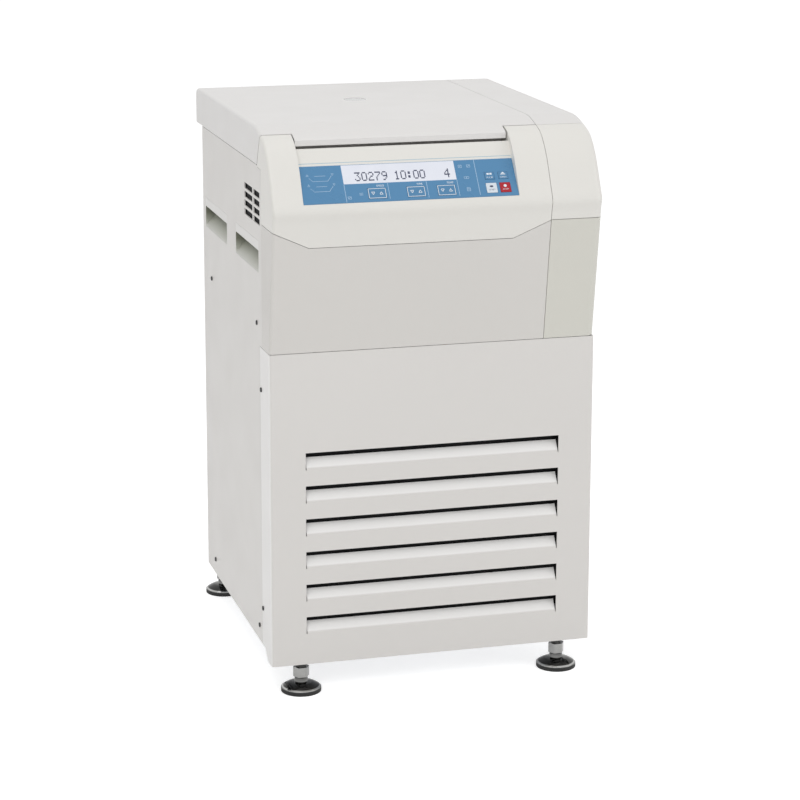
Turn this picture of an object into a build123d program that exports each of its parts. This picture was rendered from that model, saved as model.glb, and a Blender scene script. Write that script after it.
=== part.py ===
"""Floor-standing refrigerated laboratory centrifuge, as separate parts.

Millimetres. X to the right, Y to the back, Z up. The origin is on the floor,
in the middle of the footprint.
"""
from build123d import *
from math import atan2, cos, degrees, hypot, radians, sin
import os

os.makedirs("parts", exist_ok=True)

# ---- overall cabinet ---------------------------------------------------------
cabinet_width = 560
cabinet_height = 950
half = cabinet_width / 2
floor_gap = 50  # underside of the base above the floor
side_bottom = floor_gap + 17  # lower edge of the side panels
front_seam = cabinet_height - 363  # joint between the louvred panel and the covers
lid_seam = cabinet_height - 62  # lower edge of the lid's skirt
slant_foot = lid_seam - 4  # upper edge of the covers' side walls
front_y = -275.5  # face of the louvred panel
bulge_y = -313  # foremost line of the covers
cover_back_y = -224  # rear edge of the covers' side walls
flange_y = -206  # rear edge of the louvred panel's side flanges
back_y = 257.5  # rear edge of the side panels
rear_face_y = 303
lid_back_y = 314
lid_front_y = -221
lid_gap_y = -196  # rear end of the slanted joint between lid and housing
column_x = half - 90  # joint between the lid side and the fixed right column
seam_gap = 0.9  # visible joint between two covers
sheet = 2  # folded steel sheet
plastic = 3  # moulded cover wall
lid_wall = 3
lid_gap = 2.6  # open joint round the lid's front edge

# ---- front outline of the covers, going down from the lid --------------------
lid_front_z = cabinet_height - 11
top_front_y = -165  # where the flat top starts to fall forward
side_radius = 5
column_radius = 13.5  # must stay under the tightest curve of the outline, about 14
slope_y, slope_z = -241, cabinet_height - 18
brow_y, brow_z = -257, cabinet_height - 30
face_y, face_z = -284.5, cabinet_height - 66
cheek_y, cheek_z = -304.5, cabinet_height - 105
bulge_z = cabinet_height - 125
chin_y, chin_z = -308.5, cabinet_height - 146
hollow_y = bulge_y + plastic + 0.5  # inner face behind the foremost line

# ---- operating panel ---------------------------------------------------------
panel_left = -half + 51
panel_right = column_x - 56
panel_top_y, panel_top_z = -243, cabinet_height - 32
panel_foot_y, panel_foot_z = -308, cabinet_height - 113
panel_length = hypot(panel_foot_y - panel_top_y, panel_foot_z - panel_top_z)
panel_slope = degrees(atan2(panel_top_z - panel_foot_z, panel_top_y - panel_foot_y))
strip_height = 33  # plain strip above the overlay
overlay_thick = 0.8
window_left, window_right = panel_left + 72, panel_left + 262
window_top, window_foot = 34, 69  # measured down the panel
key_gap = 0.4
key_proud = 0.3
key_pocket = 3
key_places = {  # centre across, distance down the panel, width, height
    "start_key": (panel_right - 44.6, 87.6, 18, 18),
    "stop_key": (panel_right - 21.2, 87.6, 18, 18),
    "pulse_key": (panel_right - 44.6, 65, 16, 13),
    "lid_key": (panel_right - 21.2, 65, 16, 13),
    "speed_key": (panel_left + 124.8, 88, 30.4, 19),
    "time_key": (panel_left + 190.2, 88, 30.4, 19),
    "temperature_key": (panel_left + 241.6, 88, 30.4, 19),
}

# ---- seam between the control housing and the front cover --------------------
housing_seam_side = cabinet_height - 156
housing_seam_middle = cabinet_height - 184.5
seam_knee_left = panel_left + 10
seam_knee_right = panel_right - 8

# ---- louvres -----------------------------------------------------------------
louvre_count = 6
louvre_top = front_seam - 170
louvre_pitch = 56.8
louvre_height = 29.5
louvre_half_width = half - 60
blade_depth = 12
blade_gap = 10
blade_end_gap = 1.5

# ---- side panels -------------------------------------------------------------
panel_fold = 13
cup_spans = [(-202, -24), (50, 234)]  # grips along Y
cup_foot = front_seam + 122
cup_top = cup_foot + 53
rim_height = 16
vent_spans = [(-213, -166), (-159, -97)]
vent_tops = [lid_seam - 44.2 - 14.7 * row for row in range(4)]
vent_height = 10.2

# ---- chamber and rotor -------------------------------------------------------
rotor_x, rotor_y = -46, 32
deck_top = lid_seam - 9
deck_thick = 6
bowl_radius = 170
bowl_wall = 2
bowl_floor = deck_top - 210
rim_radius = bowl_radius + bowl_wall + 10
coil_tube = 9.5
foam_thick = 18
trunnion_radius = 78
trunnion_z = deck_top - 72
bucket_radius = 36
bucket_wall = 3
bucket_below = 72
bucket_above = 20
bucket_gap = 6  # between a bucket's side and the arm beside it
pivot_radius = 4
running_gap = 0.05
spindle_radius = 12
hub_radius = 30
motor_radius = 80
motor_top = bowl_floor - 34
motor_foot = motor_top - 172
shelf_top = motor_foot - 20
shelf_thick = 6

# ---- lid ---------------------------------------------------------------------
hinge_y, hinge_z = 296, cabinet_height - 43
hinge_pin_radius = 5
liner_z = deck_top + 12
liner_radius = rim_radius + 15
port_radius = 19.5
port_x, port_y = rotor_x + 4, rotor_y + 52
striker_y = -183
striker_x = [rotor_x - 130, rotor_x + 130]
striker_half = 12
striker_thick = 6
striker_foot = deck_top - 24
latch_y, latch_z = striker_y + 22, deck_top - 36
latch_pin_radius = 5
latch_release = 30  # degrees from hooked to released

# ---- feet --------------------------------------------------------------------
front_foot_x, front_foot_y = half - 53.5, -260
rear_foot_x, rear_foot_y = half - 34, 280
foot_places = {
    "front_left": (-front_foot_x, front_foot_y),
    "front_right": (front_foot_x, front_foot_y),
    "rear_left": (-rear_foot_x, rear_foot_y),
    "rear_right": (rear_foot_x, rear_foot_y),
}
stud_radius = 8
pad_radius = 34
boss_size = 12
hex_across = 24
hex_foot, hex_height = 25.5, 17

# ---- machinery bay -----------------------------------------------------------
base_top = floor_gap + 42
base_floor = floor_gap + 15
base_half = half - 14
base_back = 300
post_size = 25
post_x = half - 40
post_front_y, post_rear_y = -200, 242
condenser_y = -220
core_half, core_foot, core_top = half - 75, base_floor, shelf_top - 43
fan_z = 235
fan_radius = 122
compressor_x, compressor_y = 120, 110
suction_x = compressor_x + 14
drier_x, drier_y = -190, 60
pipe_hole = 8
inlet_x, inlet_z = half - 80, 130
switch_x = half - 140


def save(part, label):
    part.label = label
    export_step(part, f"parts/{label}.step")


def box(low, high):
    """A plain block from its lowest to its highest corner."""
    size = [top - base for base, top in zip(low, high)]
    corner = (Align.MIN, Align.MIN, Align.MIN)
    return Pos(*low) * Box(*size, align=corner, mode=Mode.PRIVATE)


def panel_plane(x, down, lift=0):
    """Plane on the operating panel: x across it, down along the slope."""
    run = down / panel_length
    y = panel_top_y + (panel_foot_y - panel_top_y) * run
    z = panel_top_z + (panel_foot_z - panel_top_z) * run
    normal = Vector(0, -sin(radians(panel_slope)), cos(radians(panel_slope)))
    point = Vector(x, y, z) + normal * lift
    return Plane(origin=point, x_dir=(1, 0, 0), z_dir=normal)


def side_plane(x):
    """Plane across the cabinet: local x is Y, local y is Z, normal is +X."""
    return Plane(origin=(x, 0, 0), x_dir=(0, 1, 0), z_dir=(1, 0, 0))


def front_line():
    """Front outline of the covers from the flat top down to the seam."""
    Spline(
        (top_front_y, cabinet_height),
        (lid_front_y, lid_front_z),
        (slope_y, slope_z),
        (brow_y, brow_z),
        (face_y, face_z),
        (cheek_y, cheek_z),
        (bulge_y, bulge_z),
        (chin_y, chin_z),
        tangents=((-1, 0), (front_y - chin_y, front_seam - chin_z)),
    )
    Line((chin_y, chin_z), (front_y, front_seam))


def rounded_block(low_x, high_x, radius, outer_x):
    """Solid between two widths under the whole outline, one outer edge rounded."""
    with BuildPart() as block:
        with BuildSketch(side_plane(low_x)):
            with BuildLine():
                front_line()
                Polyline(
                    (front_y, front_seam),
                    (lid_back_y, front_seam),
                    (lid_back_y, cabinet_height - 14),
                )
                ThreePointArc(
                    (lid_back_y, cabinet_height - 14),
                    (lid_back_y - 4, cabinet_height - 4),
                    (lid_back_y - 14, cabinet_height),
                )
                Line((lid_back_y - 14, cabinet_height), (top_front_y, cabinet_height))
            make_face()
        extrude(amount=high_x - low_x)
        outer_edges = block.edges().filter_by(
            lambda edge: abs(edge.center().X - outer_x) < 0.1
            and edge.center().Y < lid_back_y - 1
            and edge.center().Z > front_seam + 1
        )
        fillet(outer_edges, radius=radius)
    return block.part


def cover_zone(low_z, high_z):
    """Solid that keeps only what lies in front of the side panels and the lid."""
    with BuildPart() as zone:
        with BuildSketch(side_plane(-half - 10)):
            with BuildLine():
                Polyline(
                    (-400, front_seam - 10),
                    (cover_back_y, front_seam - 10),
                    (cover_back_y, slant_foot),
                    (lid_gap_y, slant_foot),
                    (lid_front_y, lid_front_z),
                    (lid_front_y - 14, cabinet_height + 20),
                    (-400, cabinet_height + 20),
                    close=True,
                )
            make_face()
        extrude(amount=cabinet_width + 20)
        add(box((-400, -400, low_z), (400, 400, high_z)), mode=Mode.INTERSECT)
    return zone.part


def housing_seam_points(shift):
    """Stepped seam in the front view, moved up or down by shift."""
    return [
        (-half - 1, housing_seam_side + shift),
        (seam_knee_left, housing_seam_middle + shift),
        (seam_knee_right, housing_seam_middle + shift),
        (column_x + 1, housing_seam_side + shift),
    ]


front_view = Plane(origin=(0, 0, 0), x_dir=(1, 0, 0), z_dir=(0, -1, 0))
rear_view = Plane(origin=(0, 0, 0), x_dir=(-1, 0, 0), z_dir=(0, 1, 0))

# ==============================================================================
# Covers
# ==============================================================================
housing_right = column_x - seam_gap / 2

with BuildPart() as control_housing:
    add(rounded_block(-half, housing_right, side_radius, -half))
    add(cover_zone(housing_seam_middle - 1, cabinet_height + 20), mode=Mode.INTERSECT)
    # recess over the operating panel and under the lid's tongue
    with BuildSketch(side_plane(panel_left)):
        with BuildLine():
            Polyline(
                (panel_foot_y, panel_foot_z),
                (panel_foot_y - 20, panel_foot_z + 15),
                (panel_foot_y - 20, cabinet_height + 10),
                (lid_gap_y + 10, cabinet_height + 10),
                (lid_gap_y + 10, lid_seam + 9),
                (panel_top_y, panel_top_z),
                close=True,
            )
        make_face()
    extrude(amount=panel_right - panel_left, mode=Mode.SUBTRACT)
    # hollow under the panel
    with BuildSketch(side_plane(panel_left - plastic)):
        with BuildLine():
            Polyline(
                (lid_gap_y + 10, front_seam - 1),
                (front_y + plastic, front_seam - 1),
                (chin_y + plastic, chin_z),
                (hollow_y, bulge_z - 2),
                (panel_foot_y + 7, panel_foot_z - 4),
                (panel_top_y + 7, panel_top_z - 4),
                (lid_gap_y + 10, lid_seam + 3),
                close=True,
            )
        make_face()
    extrude(amount=panel_right - panel_left + 2 * plastic, mode=Mode.SUBTRACT)
    # hollows inside the two horns
    for low_x, high_x in (
        (-half + plastic, panel_left - plastic),
        (panel_right + plastic, housing_right - plastic),
    ):
        with BuildSketch(side_plane(low_x)):
            with BuildLine():
                Polyline(
                    (lid_gap_y + 10, front_seam - 1),
                    (front_y + plastic, front_seam - 1),
                    (chin_y + plastic, chin_z),
                    (hollow_y, bulge_z - 2),
                    (cheek_y + 5, cheek_z - 2),
                    (face_y + 4.5, face_z),
                    (brow_y + 5, brow_z - 5),
                    (lid_front_y - 8, lid_front_z - 8),
                    (lid_gap_y - 5, slant_foot + 2),
                    (lid_gap_y + 10, slant_foot + 2),
                    close=True,
                )
            make_face()
        extrude(amount=high_x - low_x, mode=Mode.SUBTRACT)
    # everything below the stepped seam belongs to the front cover
    with BuildSketch(front_view.offset(-lid_gap_y - 40)):
        with BuildLine():
            Polyline(
                *housing_seam_points(seam_gap / 2),
                (column_x + 1, front_seam - 1),
                (-half - 1, front_seam - 1),
                close=True,
            )
        make_face()
    extrude(amount=200, both=True, mode=Mode.SUBTRACT)
    # cavities behind the keys
    for x, down, wide, tall in key_places.values():
        with BuildSketch(panel_plane(x, down)):
            Rectangle(wide + 2 * key_gap, tall + 2 * key_gap)
        extrude(amount=-key_pocket, mode=Mode.SUBTRACT)
save(control_housing.part, "control_housing")

with BuildPart() as front_fascia:
    add(rounded_block(-half, housing_right, side_radius, -half))
    add(cover_zone(front_seam, housing_seam_side + 1), mode=Mode.INTERSECT)
    with BuildSketch(side_plane(-half + plastic)):
        with BuildLine():
            Polyline(
                (lid_gap_y + 10, front_seam + plastic),
                (front_y + plastic, front_seam + plastic),
                (chin_y + plastic, chin_z),
                (hollow_y, bulge_z - 2),
                (hollow_y, cabinet_height),
                (lid_gap_y + 10, cabinet_height),
                close=True,
            )
        make_face()
    extrude(amount=half + housing_right - 2 * plastic, mode=Mode.SUBTRACT)
    with BuildSketch(front_view.offset(-lid_gap_y - 40)):
        with BuildLine():
            Polyline(
                *housing_seam_points(-seam_gap / 2),
                (column_x + 1, cabinet_height + 10),
                (-half - 1, cabinet_height + 10),
                close=True,
            )
        make_face()
    extrude(amount=200, both=True, mode=Mode.SUBTRACT)
save(front_fascia.part, "front_fascia")

column_left = column_x + seam_gap / 2


def column_cover(low_z, high_z):
    """One moulded length of the right column between two heights."""
    with BuildPart() as cover:
        add(rounded_block(column_left, half, column_radius, half))
        add(cover_zone(low_z, high_z), mode=Mode.INTERSECT)
        with BuildSketch(side_plane(column_left + plastic)):
            with BuildLine():
                Polyline(
                    (lid_gap_y + 10, front_seam - 1),
                    (front_y + plastic, front_seam - 1),
                    (chin_y + plastic, chin_z),
                    (hollow_y, bulge_z - 2),
                    (cheek_y + 6, cheek_z - 3),
                    (face_y + 6.5, face_z - 2),
                    (brow_y + 6, brow_z - 7),
                    (lid_front_y - 6, lid_front_z - 10),
                    (lid_gap_y - 5, slant_foot + 2),
                    (lid_gap_y + 10, slant_foot + 2),
                    close=True,
                )
            make_face()
        extrude(amount=half - column_left - 2 * plastic - 3, mode=Mode.SUBTRACT)
    return cover.part


save(
    column_cover(front_seam, housing_seam_side - seam_gap / 2),
    "right_lower_cover",
)
save(
    column_cover(housing_seam_side + seam_gap / 2, cabinet_height + 20),
    "right_upper_cover",
)


def lid_zone(gap):
    """Solid that keeps only what lies behind the slanted joint, above the seam."""
    with BuildPart() as zone:
        with BuildSketch(side_plane(-half - 10)):
            with BuildLine():
                Polyline(
                    (lid_front_y - 14 + gap, cabinet_height + 20),
                    (lid_front_y + gap, lid_front_z),
                    (lid_gap_y + gap, lid_seam),
                    (lid_back_y - 6, lid_seam),
                    (lid_back_y + 10, lid_seam + 16),
                    (lid_back_y + 10, cabinet_height + 20),
                    close=True,
                )
            make_face()
        extrude(amount=cabinet_width + 20)
    return zone.part


lid_right = column_x - seam_gap / 2

with BuildPart() as lid_shell:
    add(rounded_block(-half, lid_right, side_radius, -half))
    add(lid_zone(lid_gap), mode=Mode.INTERSECT)
    # tongue that bridges the recess between the horns
    with BuildSketch(side_plane(panel_left + lid_gap)):
        with BuildLine():
            Polyline(
                (lid_front_y + 6, lid_front_z + 2.4),
                (lid_front_y, lid_front_z - 0.2),
                (lid_front_y - 13, lid_front_z - 4.5),
                (lid_front_y - 18, lid_front_z - 8),
                (lid_front_y - 18, lid_front_z - 17),
                (lid_front_y + 6, lid_front_z - 17),
                close=True,
            )
        make_face()
    extrude(amount=panel_right - panel_left - 2 * lid_gap)
    # hollow underside
    with BuildSketch(side_plane(-half + lid_wall)):
        with BuildLine():
            Polyline(
                (lid_front_y - 15, lid_front_z - 20),
                (lid_front_y - 15, lid_front_z - 8.5),
                (lid_front_y, lid_front_z - 3.5),
                (top_front_y, cabinet_height - lid_wall),
                (lid_back_y - 14, cabinet_height - lid_wall),
                (lid_back_y - lid_wall, cabinet_height - 14),
                (lid_back_y - lid_wall, lid_seam - 1),
                (lid_gap_y + 6, lid_seam - 1),
                (lid_gap_y - 8, lid_front_z - 20),
                close=True,
            )
        make_face()
    extrude(amount=half + lid_right - 2 * lid_wall, mode=Mode.SUBTRACT)
    with Locations((port_x, port_y, cabinet_height)):
        Hole(port_radius + 0.3, depth=lid_wall + 1)
save(lid_shell.part, "lid_shell")

with BuildPart() as right_top_cover:
    add(rounded_block(column_left, half, column_radius, half))
    add(lid_zone(seam_gap), mode=Mode.INTERSECT)
    with BuildSketch(side_plane(column_left + plastic)):
        with BuildLine():
            Polyline(
                (lid_front_y + 9, lid_front_z - 8),
                (top_front_y, cabinet_height - plastic - 2),
                (lid_back_y - 15, cabinet_height - plastic - 2),
                (lid_back_y - 6, cabinet_height - 15),
                (lid_back_y - 6, lid_seam - 1),
                (lid_gap_y + 8, lid_seam - 1),
                close=True,
            )
        make_face()
    extrude(amount=half - column_left - 2 * plastic - 3, mode=Mode.SUBTRACT)
save(right_top_cover.part, "right_top_cover")

with BuildPart() as viewing_port:
    with BuildSketch(Plane.XY.offset(liner_z)):
        with Locations((port_x, port_y)):
            Circle(port_radius)
    extrude(amount=cabinet_height - liner_z - 0.4)
save(viewing_port.part, "viewing_port")

with BuildPart() as lid_liner:
    with BuildSketch(Plane.XY.offset(liner_z)):
        with Locations((rotor_x, rotor_y)):
            Circle(liner_radius)
    extrude(amount=cabinet_height - lid_wall - liner_z)
    with BuildSketch(Plane.XY.offset(liner_z + 3)):
        with Locations((rotor_x, rotor_y)):
            Circle(liner_radius - 2)
    extrude(amount=cabinet_height, mode=Mode.SUBTRACT)
    with BuildSketch(Plane.XY.offset(liner_z)):
        with Locations((port_x, port_y)):
            Circle(port_radius + 0.3)
    extrude(amount=3, mode=Mode.SUBTRACT)
save(lid_liner.part, "lid_liner")

roof_fall = 0.205  # slope of the lid's underside towards its front edge
with BuildPart() as striker:
    roof = cabinet_height - lid_wall - roof_fall * (top_front_y - striker_y + 4)
    low = (-striker_half, striker_y - striker_thick / 2, striker_foot)
    add(box(low, (striker_half, striker_y + striker_thick / 2, roof)))
    add(
        box(
            (-striker_half + 5, striker_y - striker_thick, striker_foot + 7),
            (striker_half - 5, striker_y + striker_thick, striker_foot + 40),
        ),
        mode=Mode.SUBTRACT,
    )
strikers = [Pos(x, 0, 0) * striker.part for x in striker_x]
save(Compound(children=strikers), "lid_strikers")

# ---- hinges ------------------------------------------------------------------
hinge_places = [rotor_x - 150, rotor_x + 150]
ear_thick = 6
knuckle_width = 30
knuckle_gap = 0.4


def hinge_bracket(x):
    """Two ears on a foot, reaching back from the deck to the hinge pin."""
    with BuildPart() as bracket:
        with BuildSketch(side_plane(x - knuckle_width / 2 - knuckle_gap - ear_thick)):
            with BuildLine():
                Polyline(
                    (hinge_y - 58, deck_top),
                    (hinge_y - 40, deck_top),
                    (hinge_y - 40, hinge_z - 14),
                    (hinge_y, hinge_z - 10),
                    (hinge_y, hinge_z + 10),
                    (hinge_y - 44, hinge_z + 2),
                    (hinge_y - 58, hinge_z - 10),
                    close=True,
                )
            make_face()
            with Locations((hinge_y, hinge_z)):
                Circle(10)
                Circle(hinge_pin_radius, mode=Mode.SUBTRACT)
        extrude(amount=knuckle_width + 2 * knuckle_gap + 2 * ear_thick)
        with BuildSketch(side_plane(x - knuckle_width / 2 - knuckle_gap)):
            with Locations((hinge_y - 26, hinge_z)):
                Rectangle(90, 2 * (hinge_z - deck_top) - 8)
        extrude(amount=knuckle_width + 2 * knuckle_gap, mode=Mode.SUBTRACT)
    return bracket.part


def hinge_pin(x):
    length = knuckle_width + 2 * knuckle_gap + 2 * ear_thick + 4
    plane = Plane(origin=(x - length / 2, hinge_y, hinge_z), z_dir=(1, 0, 0))
    with BuildPart(plane) as pin:
        Cylinder(hinge_pin_radius, length, align=(Align.CENTER, Align.CENTER, Align.MIN))
    return pin.part


def hinge_knuckle(x):
    """Lid leaf that turns on the pin and bolts under the lid's top."""
    with BuildPart() as knuckle:
        with BuildSketch(side_plane(x - knuckle_width / 2)):
            with Locations((hinge_y, hinge_z)):
                Circle(10)
            with BuildLine():
                Polyline(
                    (hinge_y - 8, hinge_z),
                    (hinge_y + 4, hinge_z),
                    (hinge_y + 4, cabinet_height - lid_wall),
                    (hinge_y - 36, cabinet_height - lid_wall),
                    (hinge_y - 36, cabinet_height - lid_wall - 5),
                    (hinge_y - 8, cabinet_height - lid_wall - 12),
                    close=True,
                )
            make_face()
            with Locations((hinge_y, hinge_z)):
                Circle(hinge_pin_radius + running_gap, mode=Mode.SUBTRACT)
        extrude(amount=knuckle_width)
    return knuckle.part


save(Compound(children=[hinge_bracket(x) for x in hinge_places]), "hinge_brackets")
save(Compound(children=[hinge_pin(x) for x in hinge_places]), "hinge_pins")
save(Compound(children=[hinge_knuckle(x) for x in hinge_places]), "lid_hinge_leaves")

# ==============================================================================
# Operating panel
# ==============================================================================
with BuildPart() as keypad_overlay:
    middle = (strip_height + panel_length) / 2
    with BuildSketch(panel_plane((panel_left + panel_right) / 2, middle)):
        Rectangle(panel_right - panel_left - 1, panel_length - strip_height - 1)
    extrude(amount=overlay_thick)
    for x, down, wide, tall in key_places.values():
        with BuildSketch(panel_plane(x, down)):
            Rectangle(wide + 2 * key_gap, tall + 2 * key_gap)
        extrude(amount=overlay_thick, mode=Mode.SUBTRACT)
    window_middle = (window_top + window_foot) / 2
    with BuildSketch(panel_plane((window_left + window_right) / 2, window_middle)):
        Rectangle(window_right - window_left, window_foot - window_top)
    extrude(amount=overlay_thick, mode=Mode.SUBTRACT)
save(keypad_overlay.part, "keypad_overlay")

with BuildPart() as display_window:
    with BuildSketch(panel_plane((window_left + window_right) / 2, window_middle)):
        Rectangle(window_right - window_left, window_foot - window_top)
    extrude(amount=overlay_thick - 0.1)
save(display_window.part, "display_window")

key_back = key_proud + overlay_thick - 2.8  # rear face of a key at rest
for key_name, (x, down, wide, tall) in key_places.items():
    with BuildPart() as key:
        with BuildSketch(panel_plane(x, down, key_back)):
            RectangleRounded(wide, tall, 1.2)
        extrude(amount=overlay_thick + key_proud - key_back)
    save(key.part, key_name)

# ==============================================================================
# Steel cabinet
# ==============================================================================
panel_seam = front_seam - seam_gap

with BuildPart() as front_louvre_panel:
    with BuildSketch(Plane.XY.offset(floor_gap)):
        with BuildLine():
            Polyline(
                (-half, flange_y),
                (-half, front_y),
                (half, front_y),
                (half, flange_y),
                close=True,
            )
        make_face()
    extrude(amount=panel_seam - floor_gap)
    outer_bends = front_louvre_panel.edges().filter_by(Axis.Z).group_by(Axis.Y)[0]
    fillet(outer_bends, radius=4)
    with BuildSketch(Plane.XY.offset(floor_gap + sheet)):
        with Locations((0, (front_y + sheet + flange_y + 1) / 2)):
            Rectangle(cabinet_width - 2 * sheet, flange_y + 1 - front_y - sheet)
    extrude(amount=cabinet_height, mode=Mode.SUBTRACT)
    # open underside behind a folded lip, and the flanges' sloping foot
    for x, y in foot_places.values():
        with BuildSketch(Plane.XY.offset(floor_gap - 1)):
            with Locations((x, y)):
                Circle(boss_size + 1)
        extrude(amount=sheet + 2, mode=Mode.SUBTRACT)
    lip_depth = 14
    add(
        box(
            (-half + sheet, front_y + lip_depth, floor_gap - 1),
            (half - sheet, flange_y + 1, floor_gap + sheet + 1),
        ),
        mode=Mode.SUBTRACT,
    )
    with BuildSketch(side_plane(-half - 1)):
        with BuildLine():
            Polyline(
                (flange_y + 1, side_bottom),
                (flange_y - 20, side_bottom),
                (flange_y - 39, floor_gap),
                (flange_y - 39, floor_gap - 1),
                (flange_y + 1, floor_gap - 1),
                close=True,
            )
        make_face()
    extrude(amount=cabinet_width + 2, mode=Mode.SUBTRACT)
    blade_half = louvre_half_width - blade_end_gap
    for row in range(louvre_count):
        top = louvre_top - row * louvre_pitch
        foot = top - louvre_height
        add(
            box(
                (-louvre_half_width, front_y - 1, foot),
                (louvre_half_width, front_y + sheet + 1, top),
            ),
            mode=Mode.SUBTRACT,
        )
        with BuildSketch(side_plane(-blade_half)):
            with BuildLine():
                Polyline(
                    (front_y, foot),
                    (front_y, foot + 2),
                    (front_y + blade_depth, top - blade_gap),
                    (front_y + blade_depth + sheet, top - blade_gap - 1),
                    (front_y + sheet, foot),
                    (front_y + sheet, foot - 1),
                    (front_y, foot - 1),
                    close=True,
                )
            make_face()
        extrude(amount=2 * blade_half)
save(front_louvre_panel.part, "front_louvre_panel")

# side panels: folded pans with openings for the grips and the board vent
side_top = lid_seam - seam_gap


def side_panel(outer_x, inward, with_vent):
    """Folded side sheet; inward is +1 for the left side and -1 for the right."""
    with BuildPart() as panel:
        with BuildSketch(side_plane(outer_x)):
            with BuildLine():
                Polyline(
                    (flange_y + seam_gap, side_bottom),
                    (flange_y + seam_gap, front_seam),
                    (cover_back_y + 0.6, front_seam),
                    (cover_back_y + 0.6, slant_foot - 0.6),
                    (lid_gap_y, slant_foot - 0.6),
                    (lid_gap_y, side_top),
                    (back_y, side_top),
                    (back_y, side_bottom),
                    close=True,
                )
            make_face()
        extrude(amount=inward * sheet)
        for fold_y in (flange_y + seam_gap, back_y - sheet):
            add(
                box(
                    (min(outer_x, outer_x + inward * panel_fold), fold_y, side_bottom),
                    (
                        max(outer_x, outer_x + inward * panel_fold),
                        fold_y + sheet,
                        front_seam if fold_y < 0 else side_top,
                    ),
                )
            )
        lower_x, upper_x = sorted((outer_x, outer_x + inward * panel_fold))
        add(
            box(
                (lower_x, flange_y + seam_gap, side_bottom),
                (upper_x, back_y, side_bottom + sheet),
            )
        )
        for front, rear in cup_spans:
            add(
                box((outer_x - 5, front, cup_foot), (outer_x + 5, rear, cup_top)),
                mode=Mode.SUBTRACT,
            )
        if with_vent:
            for front, rear in vent_spans:
                for top in vent_tops:
                    add(
                        box(
                            (outer_x - 5, front, top - vent_height),
                            (outer_x + 5, rear, top),
                        ),
                        mode=Mode.SUBTRACT,
                    )
    return panel.part


save(side_panel(-half, 1, True), "left_side_panel")
save(side_panel(half, -1, False), "right_side_panel")


def grip_cup(front, rear):
    """Recessed hand grip for the left side: deep under its rim, shallow below."""
    rim_x, deep_x = -half + 3, -half + 24
    with BuildPart() as cup:
        with BuildSketch(front_view.offset(-front - 0.3)):
            with BuildLine():
                Polyline(
                    (-half, cup_top - 0.3),
                    (-half, cup_foot + 0.3),
                    (deep_x, cup_top - rim_height - 12),
                    (deep_x, cup_top - 0.3),
                    close=True,
                )
            make_face()
        extrude(amount=-(rear - front - 0.6))
        with BuildSketch(front_view.offset(-front - 3)):
            with BuildLine():
                Polyline(
                    (-half - 1, cup_top - rim_height),
                    (-half - 1, cup_foot + 3),
                    (-half, cup_foot + 3),
                    (deep_x - 3, cup_top - rim_height - 10),
                    (deep_x - 3, cup_top - rim_height + 2),
                    (rim_x, cup_top - rim_height + 2),
                    close=True,
                )
            make_face()
        extrude(amount=-(rear - front - 6), mode=Mode.SUBTRACT)
    return cup.part


left_cups = [grip_cup(front, rear) for front, rear in cup_spans]
right_cups = [mirror(cup, about=Plane.YZ) for cup in left_cups]
save(Compound(children=left_cups + right_cups), "side_grips")

rear_half = half - 11
exhaust_x, exhaust_z = -40, 330
with BuildPart() as rear_panel:
    add(
        box(
            (-rear_half, back_y + 0.6, base_top + 4),
            (rear_half, rear_face_y, deck_top - deck_thick),
        )
    )
    back_edges = rear_panel.edges().filter_by(Axis.Z).group_by(Axis.Y)[-1]
    fillet(back_edges, radius=6)
    add(
        box(
            (-rear_half + sheet, back_y, base_top + 4 + sheet),
            (rear_half - sheet, rear_face_y - sheet, deck_top - deck_thick - sheet),
        ),
        mode=Mode.SUBTRACT,
    )
    with BuildSketch(rear_view.offset(rear_face_y + 1)):
        with Locations((-exhaust_x, exhaust_z)):
            with GridLocations(62, 22, 6, 12):
                SlotOverall(50, 8)
        for x in (-inlet_x, -switch_x):
            with Locations((x, inlet_z)):
                Rectangle(28 if x == -inlet_x else 14, 22)
    extrude(amount=-5, mode=Mode.SUBTRACT)
save(rear_panel.part, "rear_panel")

with BuildPart() as base_pan:
    add(box((-base_half, front_y + 3.5, floor_gap + 2.5), (base_half, base_back, base_top)))
    add(
        box(
            (-base_half + 3, front_y + 6.5, base_floor),
            (base_half - 3, base_back - 3, base_top + 1),
        ),
        mode=Mode.SUBTRACT,
    )
    add(
        box(
            (-base_half + 3, front_y + 6.5, floor_gap),
            (base_half - 3, base_back - 3, base_floor - 3),
        ),
        mode=Mode.SUBTRACT,
    )
    for x, y in foot_places.values():
        with BuildSketch(Plane.XY.offset(floor_gap + 2.5)):
            with Locations((x, y)):
                Circle(boss_size)
        extrude(amount=base_top - floor_gap - 20)
        with BuildSketch(Plane.XY.offset(floor_gap)):
            with Locations((x, y)):
                Circle(stud_radius + running_gap)
        extrude(amount=80, mode=Mode.SUBTRACT)
save(base_pan.part, "base_pan")

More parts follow.
